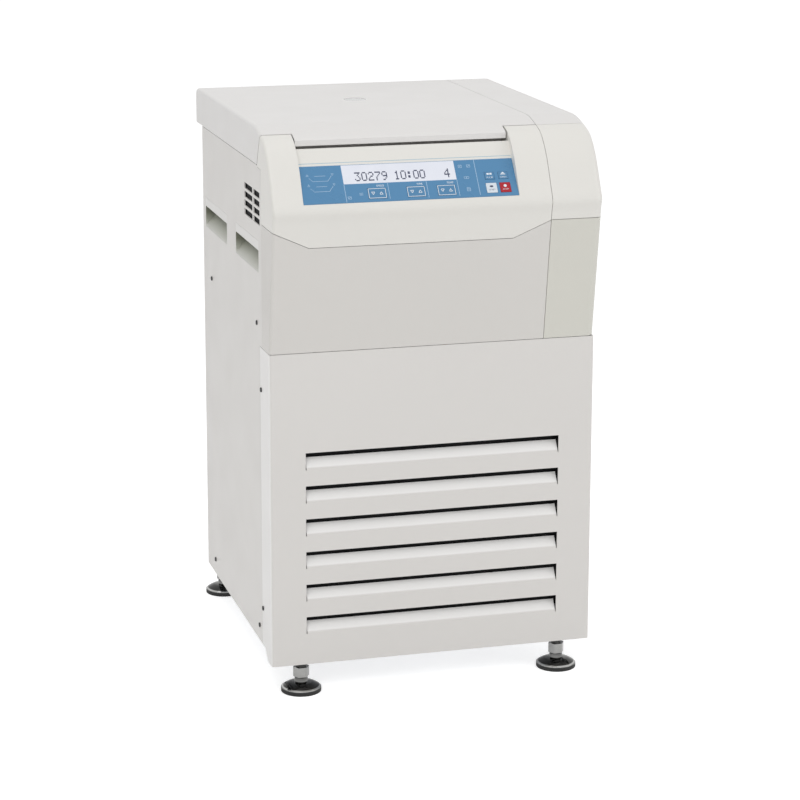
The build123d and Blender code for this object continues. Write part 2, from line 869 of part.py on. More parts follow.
for place, (x, y) in foot_places.items():
    with BuildPart() as foot:
        with BuildSketch(Plane.XZ.offset(-y)):
            with BuildLine():
                Polyline((x, 3), (x + pad_radius - 2.5, 3), (x + pad_radius - 1, 4.5))
                Line((x + pad_radius - 1, 4.5), (x + pad_radius - 1, 8))
                ThreePointArc(
                    (x + pad_radius - 1, 8),
                    (x + pad_radius * 0.62, 14.5),
                    (x + 12, 17.5),
                )
                Polyline(
                    (x + 12, 17.5),
                    (x + 11, 24),
                    (x + stud_radius, hex_foot),
                    (x + stud_radius, base_top - 4),
                    (x, base_top - 4),
                    (x, 3),
                )
            make_face()
        revolve(axis=Axis(origin=(x, y, 0), direction=(0, 0, 1)))
        with BuildSketch(Plane.XY.offset(hex_foot)):
            with Locations((x, y)):
                RegularPolygon(hex_across / 2, 6, major_radius=False)
        extrude(amount=hex_height)
    with BuildPart() as foot_rubber:
        with BuildSketch():
            with Locations((x, y)):
                Circle(pad_radius)
        extrude(amount=7)
        with BuildSketch(Plane.XY.offset(3)):
            with Locations((x, y)):
                Circle(pad_radius - 1)
        extrude(amount=5, mode=Mode.SUBTRACT)
    solids = [foot.part, foot_rubber.part]
    save(Compound(children=solids), f"{place}_foot")

post_half = post_size / 2
with BuildPart() as frame:
    for y in (post_front_y, post_rear_y):
        for x in (-post_x, post_x):
            add(
                box(
                    (x - post_half, y - post_half, base_floor),
                    (x + post_half, y + post_half, deck_top - deck_thick),
                )
            )
        add(
            box(
                (-post_x, y - post_half, shelf_top - shelf_thick - post_size),
                (post_x, y + post_half, shelf_top - shelf_thick),
            )
        )
    for x in (-post_x, post_x):
        add(
            box(
                (x - post_half, post_front_y, shelf_top - shelf_thick - post_size),
                (x + post_half, post_rear_y, shelf_top - shelf_thick),
            )
        )
save(frame.part, "frame")

with BuildPart() as deck_plate:
    add(
        box(
            (-half + 4, flange_y - 8, deck_top - deck_thick),
            (half - 4, back_y - 2.5, deck_top),
        )
    )
    with Locations((rotor_x, rotor_y, deck_top)):
        Hole(bowl_radius + bowl_wall + 0.5, depth=deck_thick)
    for x in striker_x:
        slot_half = striker_half + 4
        add(
            box(
                (x - slot_half, striker_y - 15, deck_top - deck_thick - 1),
                (x + slot_half, striker_y + 31, deck_top + 1),
            ),
            mode=Mode.SUBTRACT,
        )
save(deck_plate.part, "deck_plate")

# ==============================================================================
# Chamber
# ==============================================================================
with BuildPart() as chamber_bowl:
    with BuildSketch(Plane.XZ):
        with BuildLine():
            Polyline(
                (hub_radius, bowl_floor + 24),
                (hub_radius, bowl_floor),
                (bowl_radius + bowl_wall, bowl_floor),
                (bowl_radius + bowl_wall, deck_top),
                (rim_radius, deck_top),
                (rim_radius, deck_top + bowl_wall),
                (bowl_radius, deck_top + bowl_wall),
                (bowl_radius, bowl_floor + bowl_wall),
                (hub_radius + bowl_wall, bowl_floor + bowl_wall),
                (hub_radius + bowl_wall, bowl_floor + 24),
                close=True,
            )
        make_face()
    revolve(axis=Axis.Z)
save(Pos(rotor_x, rotor_y, 0) * chamber_bowl.part, "chamber_bowl")

with BuildPart() as chamber_gasket:
    with BuildSketch(Plane.XY.offset(deck_top)):
        with Locations((rotor_x, rotor_y)):
            Circle(rim_radius + 12)
            Circle(rim_radius + 2, mode=Mode.SUBTRACT)
    extrude(amount=liner_z - deck_top - 0.3)
    top_edges = chamber_gasket.edges().group_by(Axis.Z)[-1]
    fillet(top_edges, radius=4)
save(chamber_gasket.part, "chamber_gasket")

coil_radius = bowl_radius + bowl_wall + coil_tube / 2 + 0.4
foam_inner = coil_radius + coil_tube / 2 + 0.5
foam_outer = foam_inner + foam_thick
with BuildPart() as evaporator_coil:
    for turn in range(9):
        with Locations((rotor_x, rotor_y, bowl_floor + 20 + turn * 20)):
            Torus(coil_radius, coil_tube / 2)
    with Locations((rotor_x + coil_radius, rotor_y, bowl_floor + 100)):
        Cylinder(coil_tube / 2, 160)
save(evaporator_coil.part, "evaporator_coil")

with BuildPart() as chamber_insulation:
    with BuildSketch(Plane.XY.offset(bowl_floor)):
        with Locations((rotor_x, rotor_y)):
            Circle(foam_outer)
            Circle(foam_inner, mode=Mode.SUBTRACT)
    extrude(amount=deck_top - deck_thick - bowl_floor - 0.5)
save(chamber_insulation.part, "chamber_insulation")

with BuildPart() as armour_ring:
    with BuildSketch(Plane.XY.offset(bowl_floor - 12)):
        with Locations((rotor_x, rotor_y)):
            Circle(foam_outer + 5.5)
            Circle(foam_outer + 0.5, mode=Mode.SUBTRACT)
    extrude(amount=deck_top - deck_thick - bowl_floor + 11.5)
    with BuildSketch(Plane.XY.offset(bowl_floor - 12)):
        with Locations((rotor_x, rotor_y)):
            Circle(foam_outer + 0.5)
            Circle(90, mode=Mode.SUBTRACT)
    extrude(amount=11.5)
save(armour_ring.part, "armour_ring")

# ---- drive and rotor ---------------------------------------------------------
with BuildPart() as motor:
    with BuildSketch(Plane.XY.offset(motor_foot)):
        with Locations((rotor_x, rotor_y)):
            Circle(motor_radius + 30)
    extrude(amount=8)
    with BuildSketch(Plane.XY.offset(motor_foot)):
        with Locations((rotor_x, rotor_y)):
            Circle(motor_radius)
            with PolarLocations(motor_radius, 36):
                Rectangle(9, 4)
    extrude(amount=motor_top - motor_foot)
    with BuildSketch(Plane.XY.offset(motor_top)):
        with Locations((rotor_x, rotor_y)):
            Circle(24)
    extrude(amount=40)
    with BuildSketch(Plane.XY.offset(motor_foot + 30)):
        with Locations((rotor_x, rotor_y)):
            Circle(spindle_radius + running_gap)
    extrude(amount=cabinet_height, mode=Mode.SUBTRACT)
save(motor.part, "motor")

with BuildPart() as motor_dampers:
    with BuildSketch(Plane.XY.offset(shelf_top)):
        with Locations((rotor_x, rotor_y)):
            with PolarLocations(motor_radius + 16, 3, start_angle=90):
                Circle(11)
    extrude(amount=motor_foot - shelf_top)
save(motor_dampers.part, "motor_dampers")

with BuildPart() as motor_shelf:
    add(
        box(
            (-post_x - 10, post_front_y - 10, shelf_top - shelf_thick),
            (post_x + 10, post_rear_y + 10, shelf_top),
        )
    )
    for x in (-post_x, post_x):
        for y in (post_front_y, post_rear_y):
            with Locations((x, y, shelf_top)):
                Box(post_size + 1, post_size + 1, 30, mode=Mode.SUBTRACT)
    with Locations((suction_x, compressor_y, shelf_top), (drier_x, drier_y, shelf_top)):
        Hole(pipe_hole, depth=shelf_thick)
save(motor_shelf.part, "motor_shelf")

hub_foot, hub_top = trunnion_z - 18, trunnion_z + 30
with BuildPart() as drive_spindle:
    with BuildSketch(Plane.XY.offset(motor_foot + 40)):
        with Locations((rotor_x, rotor_y)):
            Circle(spindle_radius)
    extrude(amount=hub_top - 6 - motor_foot - 40)
save(drive_spindle.part, "drive_spindle")

head_near = bucket_radius + bucket_gap
head_far = trunnion_radius + 12
arm_length = 2 * (head_near * 2**0.5 + 14)
with BuildPart() as rotor_cross:
    with BuildSketch(Plane.XY.offset(trunnion_z - 12)):
        Circle(hub_radius)
        Rectangle(24, arm_length, rotation=45)
        Rectangle(24, arm_length, rotation=-45)
    extrude(amount=24)
    for quarter in range(4):
        with BuildSketch(Plane.XY.offset(trunnion_z - 12).rotated((0, 0, 90 * quarter))):
            with BuildLine():
                Polyline(
                    (head_near, head_near),
                    (head_far, head_near),
                    (head_far, head_near + 14),
                    (head_near + 14, head_far),
                    (head_near, head_far),
                    close=True,
                )
            make_face()
        extrude(amount=24)
    with BuildSketch(Plane.XY.offset(hub_foot)):
        Circle(hub_radius)
    extrude(amount=hub_top - hub_foot)
    with BuildSketch(Plane.XY.offset(hub_foot - 1)):
        Circle(spindle_radius)
    extrude(amount=hub_top - hub_foot - 5, mode=Mode.SUBTRACT)
    pin_length = bucket_gap - 1
    for quarter in range(4):
        for side in (-1, 1):
            turn = Rot(0, 0, 90 * quarter)
            start = side * (head_near - pin_length / 2 + 0.5)
            pin = Cylinder(pivot_radius, pin_length + 1, rotation=(90, 0, 0), mode=Mode.PRIVATE)
            add(turn * Pos(trunnion_radius, start, trunnion_z) * pin)
save(Pos(rotor_x, rotor_y, 0) * rotor_cross.part, "rotor_cross")

with BuildPart() as rotor_nut:
    with BuildSketch(Plane.XY.offset(hub_top)):
        with Locations((rotor_x, rotor_y)):
            Circle(18)
            with PolarLocations(18, 8):
                Circle(3, mode=Mode.SUBTRACT)
    extrude(amount=16)
    fillet(rotor_nut.edges().group_by(Axis.Z)[-1], radius=1)
save(rotor_nut.part, "rotor_nut")

with BuildPart() as bucket:
    with BuildSketch(Plane.XY.offset(trunnion_z - bucket_below)):
        Circle(bucket_radius)
    extrude(amount=bucket_below + bucket_above)
    boss = Cylinder(
        pivot_radius + 4, 2 * (head_near - 0.6), rotation=(90, 0, 0), mode=Mode.PRIVATE
    )
    add(Pos(0, 0, trunnion_z) * boss)
    with BuildSketch(Plane.XY.offset(trunnion_z - bucket_below + 4)):
        Circle(bucket_radius - bucket_wall)
    extrude(amount=bucket_below + bucket_above, mode=Mode.SUBTRACT)
    bore = Cylinder(
        pivot_radius + running_gap, 2 * head_near, rotation=(90, 0, 0), mode=Mode.PRIVATE
    )
    add(Pos(0, 0, trunnion_z) * bore, mode=Mode.SUBTRACT)
for number in range(4):
    place = Pos(rotor_x, rotor_y, 0) * Rot(0, 0, 90 * number) * Pos(trunnion_radius, 0, 0)
    save(place * bucket.part, f"bucket_{number + 1}")

# ---- lid latch ---------------------------------------------------------------
with BuildPart() as latch_hooks:
    for x in striker_x:
        with BuildSketch(side_plane(x - 4)):
            with Locations((latch_y, latch_z)):
                Circle(8)
            with BuildLine():
                Polyline(
                    (latch_y - 4, latch_z - 6),
                    (latch_y + 7, latch_z + 3),
                    (latch_y + 4, latch_z + 27),
                    (striker_y - 6, latch_z + 27),
                    (striker_y - 7, latch_z + 21),
                    (latch_y - 8, latch_z + 21),
                    (latch_y - 7, latch_z + 2),
                    (latch_y - 32, latch_z - 20),
                    (latch_y - 28, latch_z - 27),
                    close=True,
                )
            make_face()
        extrude(amount=8)
        with BuildSketch(side_plane(x - 13)):
            with Locations((latch_y, latch_z)):
                Circle(latch_pin_radius)
        extrude(amount=26)
    with BuildSketch(side_plane(striker_x[0])):
        with Locations((latch_y - 29, latch_z - 23)):
            Circle(4)
    extrude(amount=striker_x[1] - striker_x[0])
latch_centre = Pos(0, latch_y, latch_z)
released = latch_centre * Rot(-latch_release, 0, 0) * latch_centre.inverse()
save(released * latch_hooks.part, "latch_hooks")

with BuildPart() as latch_housings:
    for x in striker_x:
        for side in (-1, 1):
            low_x, high_x = sorted((x + side * 9, x + side * 13))
            add(
                box(
                    (low_x, latch_y - 10, latch_z - 11),
                    (high_x, latch_y + 10, deck_top - deck_thick),
                )
            )
            with BuildSketch(side_plane(low_x - 1)):
                with Locations((latch_y, latch_z)):
                    Circle(latch_pin_radius + running_gap)
            extrude(amount=6, mode=Mode.SUBTRACT)
save(latch_housings.part, "latch_housings")

# ==============================================================================
# Cooling and power
# ==============================================================================
with BuildPart() as condenser:
    add(box((-core_half, condenser_y - 18, core_foot), (core_half, condenser_y + 14, core_top)))
    with BuildSketch(Plane.XZ.offset(-condenser_y + 18)):
        with Locations((0, (core_foot + core_top) / 2)):
            with GridLocations(10, 1, 39, 1):
                Rectangle(7, core_top - core_foot - 20)
    extrude(amount=-6, mode=Mode.SUBTRACT)
    for row in range(7):
        z = core_foot + 25 + row * 45
        for side in (-1, 1):
            with Locations((side * core_half, condenser_y, z)):
                Torus(10, 4, rotation=(90, 0, 0))
save(condenser.part, "condenser")

with BuildPart() as fan_shroud:
    add(
        box(
            (-core_half + 15, condenser_y + 14, core_foot),
            (core_half - 15, condenser_y + 17, core_top),
        )
    )
    with BuildSketch(Plane.XZ.offset(-condenser_y - 14)):
        with Locations((0, fan_z)):
            Circle(fan_radius + 6)
    extrude(amount=-44)
    with BuildSketch(Plane.XZ.offset(-condenser_y - 13)):
        with Locations((0, fan_z)):
            Circle(fan_radius + 3)
    extrude(amount=-60, mode=Mode.SUBTRACT)
    with BuildSketch(Plane.XZ.offset(-condenser_y - 50)):
        with Locations((0, fan_z)):
            Rectangle(2 * fan_radius + 8, 14)
            Rectangle(14, 2 * fan_radius + 8)
            Circle(34)
    extrude(amount=-8)
    with BuildSketch(Plane.XZ.offset(-condenser_y - 58)):
        with Locations((0, fan_z)):
            Circle(34)
    extrude(amount=-40)
    with BuildSketch(Plane.XZ.offset(-condenser_y - 49)):
        with Locations((0, fan_z)):
            Circle(5 + running_gap)
    extrude(amount=-30, mode=Mode.SUBTRACT)
save(fan_shroud.part, "fan_shroud")

with BuildPart() as condenser_fan:
    with BuildSketch(Plane.XZ.offset(-condenser_y - 24)):
        with Locations((0, fan_z)):
            Circle(32)
    extrude(amount=-22)
    with BuildSketch(Plane.XZ.offset(-condenser_y - 46)):
        with Locations((0, fan_z)):
            Circle(5)
    extrude(amount=-25)
    root_align = (Align.MIN, Align.CENTER, Align.CENTER)
    blade = Box(fan_radius - 31, 2.5, 46, align=root_align, mode=Mode.PRIVATE)
    for number in range(5):
        turn = Pos(0, condenser_y + 35, fan_z) * Rot(0, 72 * number, 0)
        add(turn * Pos(30, 0, 0) * Rot(22, 0, 0) * blade)
save(condenser_fan.part, "condenser_fan")

compressor_top = base_floor + 200
with BuildPart() as compressor:
    with BuildSketch(Plane.XY.offset(base_floor + 13)):
        with Locations((compressor_x, compressor_y)):
            Circle(74)
    extrude(amount=compressor_top - base_floor - 13)
    fillet(compressor.edges().group_by(Axis.Z)[-1], radius=40)
    with BuildSketch(Plane.XY.offset(base_floor + 10)):
        with Locations((compressor_x, compressor_y)):
            Rectangle(180, 110)
    extrude(amount=4)
    with BuildSketch(Plane.XY.offset(base_floor)):
        with Locations((compressor_x, compressor_y)):
            with GridLocations(150, 84, 2, 2):
                Circle(10)
    extrude(amount=10)
save(compressor.part, "compressor")


def pipe(points, bend, radius):
    """Round pipe along straight runs with one bend radius."""
    with BuildPart() as tube:
        with BuildLine() as route:
            FilletPolyline(*points, radius=bend)
        direction = Vector(*points[1]) - Vector(*points[0])
        with BuildSketch(Plane(origin=points[0], z_dir=direction)):
            Circle(radius)
        sweep(path=route.line)
    return tube.part


line_top = bowl_floor - 12
discharge_x, discharge_z = core_half - 7, core_top - 70
discharge = pipe(
    [
        (compressor_x, compressor_y, compressor_top),
        (compressor_x, compressor_y, discharge_z),
        (discharge_x, compressor_y, discharge_z),
        (discharge_x, condenser_y + 14, discharge_z),
    ],
    18,
    4,
)
with BuildPart() as drier:
    with BuildSketch(Plane.XY.offset(base_floor)):
        with Locations((drier_x, drier_y)):
            Circle(18)
    extrude(amount=120)
    fillet(drier.edges().group_by(Axis.Z)[-1], radius=8)
    with BuildSketch(Plane.XY.offset(base_floor + 119)):
        with Locations((drier_x, drier_y)):
            Circle(4)
    extrude(amount=line_top - base_floor - 119)
with BuildPart() as suction:
    with BuildSketch(Plane.XY.offset(compressor_top)):
        with Locations((suction_x, compressor_y)):
            Circle(5)
    extrude(amount=line_top - compressor_top)
lines = [discharge, suction.part, drier.part]
save(Compound(children=lines), "refrigerant_pipes")

board_x = post_x - 58
board_length = 300
with BuildPart() as electronics:
    add(
        box(
            (board_x, -board_length / 2, shelf_top),
            (post_x + 10, board_length / 2, bowl_floor + 28),
        )
    )
    fins_face = Plane(origin=(board_x, 0, 0), x_dir=(0, -1, 0), z_dir=(-1, 0, 0))
    with BuildSketch(fins_face):
        with Locations((0, shelf_top + 124)):
            with GridLocations(12, 1, 20, 1):
                Rectangle(4, 200)
    extrude(amount=14)
save(electronics.part, "electronics")

with BuildPart() as mains_inlet:
    inlet_face = rear_view.offset(rear_face_y)
    with BuildSketch(inlet_face):
        with Locations((-inlet_x, inlet_z)):
            RectangleRounded(50, 30, 3)
    extrude(amount=3)
    with BuildSketch(inlet_face.offset(-22)):
        with Locations((-inlet_x, inlet_z)):
            Rectangle(27.4, 21.4)
    extrude(amount=22)
    with BuildSketch(inlet_face.offset(-18)):
        with Locations((-inlet_x, inlet_z)):
            RectangleRounded(24, 17, 2)
            with Locations((-7, -2), (7, -2), (0, 3)):
                Rectangle(2, 4, mode=Mode.SUBTRACT)
    extrude(amount=30, mode=Mode.SUBTRACT)
    with BuildSketch(inlet_face.offset(-18)):
        with Locations((-inlet_x, inlet_z)):
            with Locations((-7, -2), (7, -2), (0, 3)):
                Rectangle(2, 4)
    extrude(amount=15)
save(mains_inlet.part, "mains_inlet")

rocker_gap = 0.6
with BuildPart() as switch_frame:
    with BuildSketch(inlet_face):
        with Locations((-switch_x, inlet_z)):
            RectangleRounded(18, 26, 2)
    extrude(amount=2)
    with BuildSketch(inlet_face.offset(-16)):
        with Locations((-switch_x, inlet_z)):
            Rectangle(13.4, 21.4)
    extrude(amount=16)
    with BuildSketch(inlet_face.offset(-14)):
        with Locations((-switch_x, inlet_z)):
            Rectangle(10.4, 18.4)
    extrude(amount=30, mode=Mode.SUBTRACT)
save(switch_frame.part, "switch_frame")

with BuildPart() as mains_switch:
    with BuildSketch(side_plane(switch_x - 5.2 + rocker_gap)):
        with BuildLine():
            Polyline(
                (rear_face_y - 5, inlet_z - 8),
                (rear_face_y + 3.5, inlet_z - 7.5),
                (rear_face_y + 2, inlet_z),
                (rear_face_y + 3.5, inlet_z + 7.5),
                (rear_face_y - 5, inlet_z + 8),
                (rear_face_y - 8, inlet_z),
                close=True,
            )
        make_face()
    extrude(amount=10.4 - 2 * rocker_gap)
rocker_rest = Rotation(-8, 0, 0)
centre = Pos(0, rear_face_y - 3, inlet_z)
save(centre * rocker_rest * centre.inverse() * mains_switch.part, "mains_switch")

# ---- cover screws ------------------------------------------------------------
flange_screw_y = flange_y - 8
with BuildPart() as screw:
    with BuildSketch(Plane.YZ):
        Circle(4)
    extrude(amount=-2)
    chamfer(screw.faces().sort_by(Axis.X)[0].edges(), length=0.6)
screw_places = [(flange_screw_y, front_seam - 73), (flange_screw_y, side_bottom + 67)]
screw_places += [(y, z) for y in (-186, 186) for z in (front_seam + 35, side_bottom + 28)]
left_screws = [Pos(-half, y, z) * screw.part for y, z in screw_places]
right_screws = [mirror(piece, about=Plane.YZ) for piece in left_screws]
save(Compound(children=left_screws + right_screws), "cover_screws")
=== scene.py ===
import math
import bmesh
import bpy
from mathutils import Matrix, Vector


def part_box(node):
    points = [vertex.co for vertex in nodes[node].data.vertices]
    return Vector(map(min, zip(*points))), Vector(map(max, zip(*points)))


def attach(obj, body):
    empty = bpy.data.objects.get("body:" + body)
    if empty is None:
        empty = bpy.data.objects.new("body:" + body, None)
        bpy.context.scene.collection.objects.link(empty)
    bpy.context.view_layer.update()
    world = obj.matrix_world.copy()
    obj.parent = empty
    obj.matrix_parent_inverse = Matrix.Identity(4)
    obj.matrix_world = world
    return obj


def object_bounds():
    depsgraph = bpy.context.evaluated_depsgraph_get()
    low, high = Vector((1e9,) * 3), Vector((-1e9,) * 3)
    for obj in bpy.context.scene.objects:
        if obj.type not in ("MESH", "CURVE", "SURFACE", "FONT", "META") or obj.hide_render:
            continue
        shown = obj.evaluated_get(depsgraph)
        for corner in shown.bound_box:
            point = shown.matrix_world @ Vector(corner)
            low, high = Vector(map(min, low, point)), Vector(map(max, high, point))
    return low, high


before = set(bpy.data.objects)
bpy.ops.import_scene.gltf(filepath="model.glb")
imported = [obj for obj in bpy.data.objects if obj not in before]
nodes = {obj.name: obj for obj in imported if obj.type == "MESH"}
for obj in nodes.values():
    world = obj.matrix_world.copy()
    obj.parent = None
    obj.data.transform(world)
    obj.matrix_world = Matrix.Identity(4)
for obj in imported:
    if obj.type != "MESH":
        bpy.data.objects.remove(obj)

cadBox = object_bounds()
print("frame loaded:", len(nodes), "nodes")


def mixColours(low, high, share):
    return tuple(a + (b - a) * share for a, b in zip(low, high))


def linkAll(tree, pairs):
    for source, target in pairs:
        tree.links.new(source, target)


def dropOrphan(thing):
    data = thing.data
    bpy.data.objects.remove(thing)
    if data.users == 0 and isinstance(data, bpy.types.Mesh):
        bpy.data.meshes.remove(data)


def newGroup(name, inputs, outputs):
    group = bpy.data.node_groups.new(name, "ShaderNodeTree")
    for label, kind, value in inputs:
        socket = group.interface.new_socket(label, in_out="INPUT", socket_type=kind)
        if value is not None:
            socket.default_value = value
    for label, kind in outputs:
        group.interface.new_socket(label, in_out="OUTPUT", socket_type=kind)
    start = group.nodes.new("NodeGroupInput")
    end = group.nodes.new("NodeGroupOutput")
    return group, start, end


def makeCoatGroup():
    # powder coat: fine orange peel, faint cloudy tone and a little grime
    group, start, end = newGroup(
        "powderCoat",
        [
            ("Vector", "NodeSocketVector", None),
            ("Colour", "NodeSocketColor", (0.8, 0.8, 0.78, 1)),
            ("Peel Size", "NodeSocketFloat", 900.0),
            ("Peel Height", "NodeSocketFloat", 0.05),
            ("Tone Spread", "NodeSocketFloat", 0.03),
            ("Roughness", "NodeSocketFloat", 0.42),
        ],
        [
            ("Colour", "NodeSocketColor"),
            ("Roughness", "NodeSocketFloat"),
            ("Height", "NodeSocketFloat"),
        ],
    )
    make = group.nodes.new
    peel = make("ShaderNodeTexNoise")
    peel.inputs["Detail"].default_value = 3.0
    cloud = make("ShaderNodeTexNoise")
    cloud.inputs["Scale"].default_value = 3.5
    cloud.inputs["Detail"].default_value = 2.0
    smear = make("ShaderNodeTexNoise")
    smear.inputs["Scale"].default_value = 14.0
    smear.inputs["Detail"].default_value = 5.0
    centred = make("ShaderNodeMath")
    centred.operation = "SUBTRACT"
    centred.inputs[1].default_value = 0.5
    spread = make("ShaderNodeMath")
    spread.operation = "MULTIPLY"
    lift = make("ShaderNodeMath")
    lift.operation = "ADD"
    lift.inputs[1].default_value = 1.0
    tone = make("ShaderNodeVectorMath")
    tone.operation = "SCALE"
    height = make("ShaderNodeMath")
    height.operation = "MULTIPLY"
    rough = make("ShaderNodeMapRange")
    rough.inputs["From Min"].default_value = 0.3
    rough.inputs["From Max"].default_value = 0.7
    rough.inputs["To Min"].default_value = -0.05
    rough.inputs["To Max"].default_value = 0.05
    roughSum = make("ShaderNodeMath")
    roughSum.operation = "ADD"
    linkAll(group, [
        (start.outputs["Vector"], peel.inputs["Vector"]),
        (start.outputs["Vector"], cloud.inputs["Vector"]),
        (start.outputs["Vector"], smear.inputs["Vector"]),
        (start.outputs["Peel Size"], peel.inputs["Scale"]),
        (cloud.outputs["Fac"], centred.inputs[0]),
        (centred.outputs[0], spread.inputs[0]),
        (start.outputs["Tone Spread"], spread.inputs[1]),
        (spread.outputs[0], lift.inputs[0]),
        (start.outputs["Colour"], tone.inputs[0]),
        (lift.outputs[0], tone.inputs["Scale"]),
        (tone.outputs["Vector"], end.inputs["Colour"]),
        (peel.outputs["Fac"], height.inputs[0]),
        (start.outputs["Peel Height"], height.inputs[1]),
        (height.outputs[0], end.inputs["Height"]),
        (smear.outputs["Fac"], rough.inputs["Value"]),
        (rough.outputs["Result"], roughSum.inputs[0]),
        (start.outputs["Roughness"], roughSum.inputs[1]),
        (roughSum.outputs[0], end.inputs["Roughness"]),
    ])
    return group


def makeBrushGroup():
    # brushed or drawn metal: streaks stretched along one axis
    group, start, end = newGroup(
        "brushedMetal",
        [
            ("Vector", "NodeSocketVector", None),
            ("Colour", "NodeSocketColor", (0.7, 0.7, 0.7, 1)),
            ("Stretch", "NodeSocketVector", (20.0, 20.0, 900.0)),
            ("Contrast", "NodeSocketFloat", 0.12),
            ("Roughness", "NodeSocketFloat", 0.3),
        ],
        [
            ("Colour", "NodeSocketColor"),
            ("Roughness", "NodeSocketFloat"),
            ("Height", "NodeSocketFloat"),
        ],
    )
    make = group.nodes.new
    pull = make("ShaderNodeVectorMath")
    pull.operation = "MULTIPLY"
    streak = make("ShaderNodeTexNoise")
    streak.inputs["Scale"].default_value = 1.0
    streak.inputs["Detail"].default_value = 4.0
    tone = make("ShaderNodeMapRange")
    tone.inputs["To Min"].default_value = 0.85
    tone.inputs["To Max"].default_value = 1.1
    scaled = make("ShaderNodeVectorMath")
    scaled.operation = "SCALE"
    swing = make("ShaderNodeMath")
    swing.operation = "MULTIPLY"
    sumRough = make("ShaderNodeMath")
    sumRough.operation = "ADD"
    linkAll(group, [
        (start.outputs["Vector"], pull.inputs[0]),
        (start.outputs["Stretch"], pull.inputs[1]),
        (pull.outputs["Vector"], streak.inputs["Vector"]),
        (streak.outputs["Fac"], tone.inputs["Value"]),
        (start.outputs["Colour"], scaled.inputs[0]),
        (tone.outputs["Result"], scaled.inputs["Scale"]),
        (scaled.outputs["Vector"], end.inputs["Colour"]),
        (streak.outputs["Fac"], swing.inputs[0]),
        (start.outputs["Contrast"], swing.inputs[1]),
        (swing.outputs[0], sumRough.inputs[0]),
        (start.outputs["Roughness"], sumRough.inputs[1]),
        (sumRough.outputs[0], end.inputs["Roughness"]),
        (streak.outputs["Fac"], end.inputs["Height"]),
    ])
    return group


coatGroup = makeCoatGroup()
brushGroup = makeBrushGroup()
relief = {"coatStrength": 0.5, "coatDepth": 0.0006, "brushStrength": 0.3, "threadStrength": 0.6}


def newMaterial(name):
    material = bpy.data.materials.new(name)
    material.use_nodes = True
    tree = material.node_tree
    shader = tree.nodes["Principled BSDF"]
    place = tree.nodes.new("ShaderNodeTexCoord")
    return material, tree, shader, place


def addBump(tree, shader, height, strength, distance):
    bump = tree.nodes.new("ShaderNodeBump")
    bump.inputs["Strength"].default_value = strength
    bump.inputs["Distance"].default_value = distance
    linkAll(tree, [
        (height, bump.inputs["Height"]),
        (bump.outputs["Normal"], shader.inputs["Normal"]),
    ])


def coatMaterial(name, colour, roughness=0.42, peel=0.05, spread=0.03, size=900.0):
    material, tree, shader, place = newMaterial(name)
    group = tree.nodes.new("ShaderNodeGroup")
    group.node_tree = coatGroup
    group.inputs["Colour"].default_value = (*colour, 1)
    group.inputs["Peel Size"].default_value = size
    group.inputs["Peel Height"].default_value = peel
    group.inputs["Tone Spread"].default_value = spread
    group.inputs["Roughness"].default_value = roughness
    linkAll(tree, [
        (place.outputs["Object"], group.inputs["Vector"]),
        (group.outputs["Colour"], shader.inputs["Base Color"]),
        (group.outputs["Roughness"], shader.inputs["Roughness"]),
    ])
    addBump(tree, shader, group.outputs["Height"], relief["coatStrength"], relief["coatDepth"])
    return material


def metalMaterial(name, colour, roughness, stretch, contrast=0.12, depth=0.00005):
    material, tree, shader, place = newMaterial(name)
    shader.inputs["Metallic"].default_value = 1.0
    group = tree.nodes.new("ShaderNodeGroup")
    group.node_tree = brushGroup
    group.inputs["Colour"].default_value = (*colour, 1)
    group.inputs["Stretch"].default_value = stretch
    group.inputs["Contrast"].default_value = contrast
    group.inputs["Roughness"].default_value = roughness
    linkAll(tree, [
        (place.outputs["Object"], group.inputs["Vector"]),
        (group.outputs["Colour"], shader.inputs["Base Color"]),
        (group.outputs["Roughness"], shader.inputs["Roughness"]),
    ])
    addBump(tree, shader, group.outputs["Height"], relief["brushStrength"], depth)
    return material


def clearMaterial(name, colour):
    material, tree, shader, place = newMaterial(name)
    shader.inputs["Transmission Weight"].default_value = 0.35
    shader.inputs["IOR"].default_value = 1.49
    noise = tree.nodes.new("ShaderNodeTexNoise")
    noise.inputs["Scale"].default_value = 60.0
    ramp = tree.nodes.new("ShaderNodeMapRange")
    ramp.inputs["To Min"].default_value = 0.08
    ramp.inputs["To Max"].default_value = 0.16
    tint = tree.nodes.new("ShaderNodeMix")
    tint.data_type = "RGBA"
    tint.inputs["A"].default_value = (*colour, 1)
    tint.inputs["B"].default_value = (*mixColours(colour, (1, 1, 1), 0.2), 1)
    linkAll(tree, [
        (place.outputs["Object"], noise.inputs["Vector"]),
        (noise.outputs["Fac"], ramp.inputs["Value"]),
        (ramp.outputs["Result"], shader.inputs["Roughness"]),
        (noise.outputs["Fac"], tint.inputs["Factor"]),
        (tint.outputs["Result"], shader.inputs["Base Color"]),
    ])
    return material


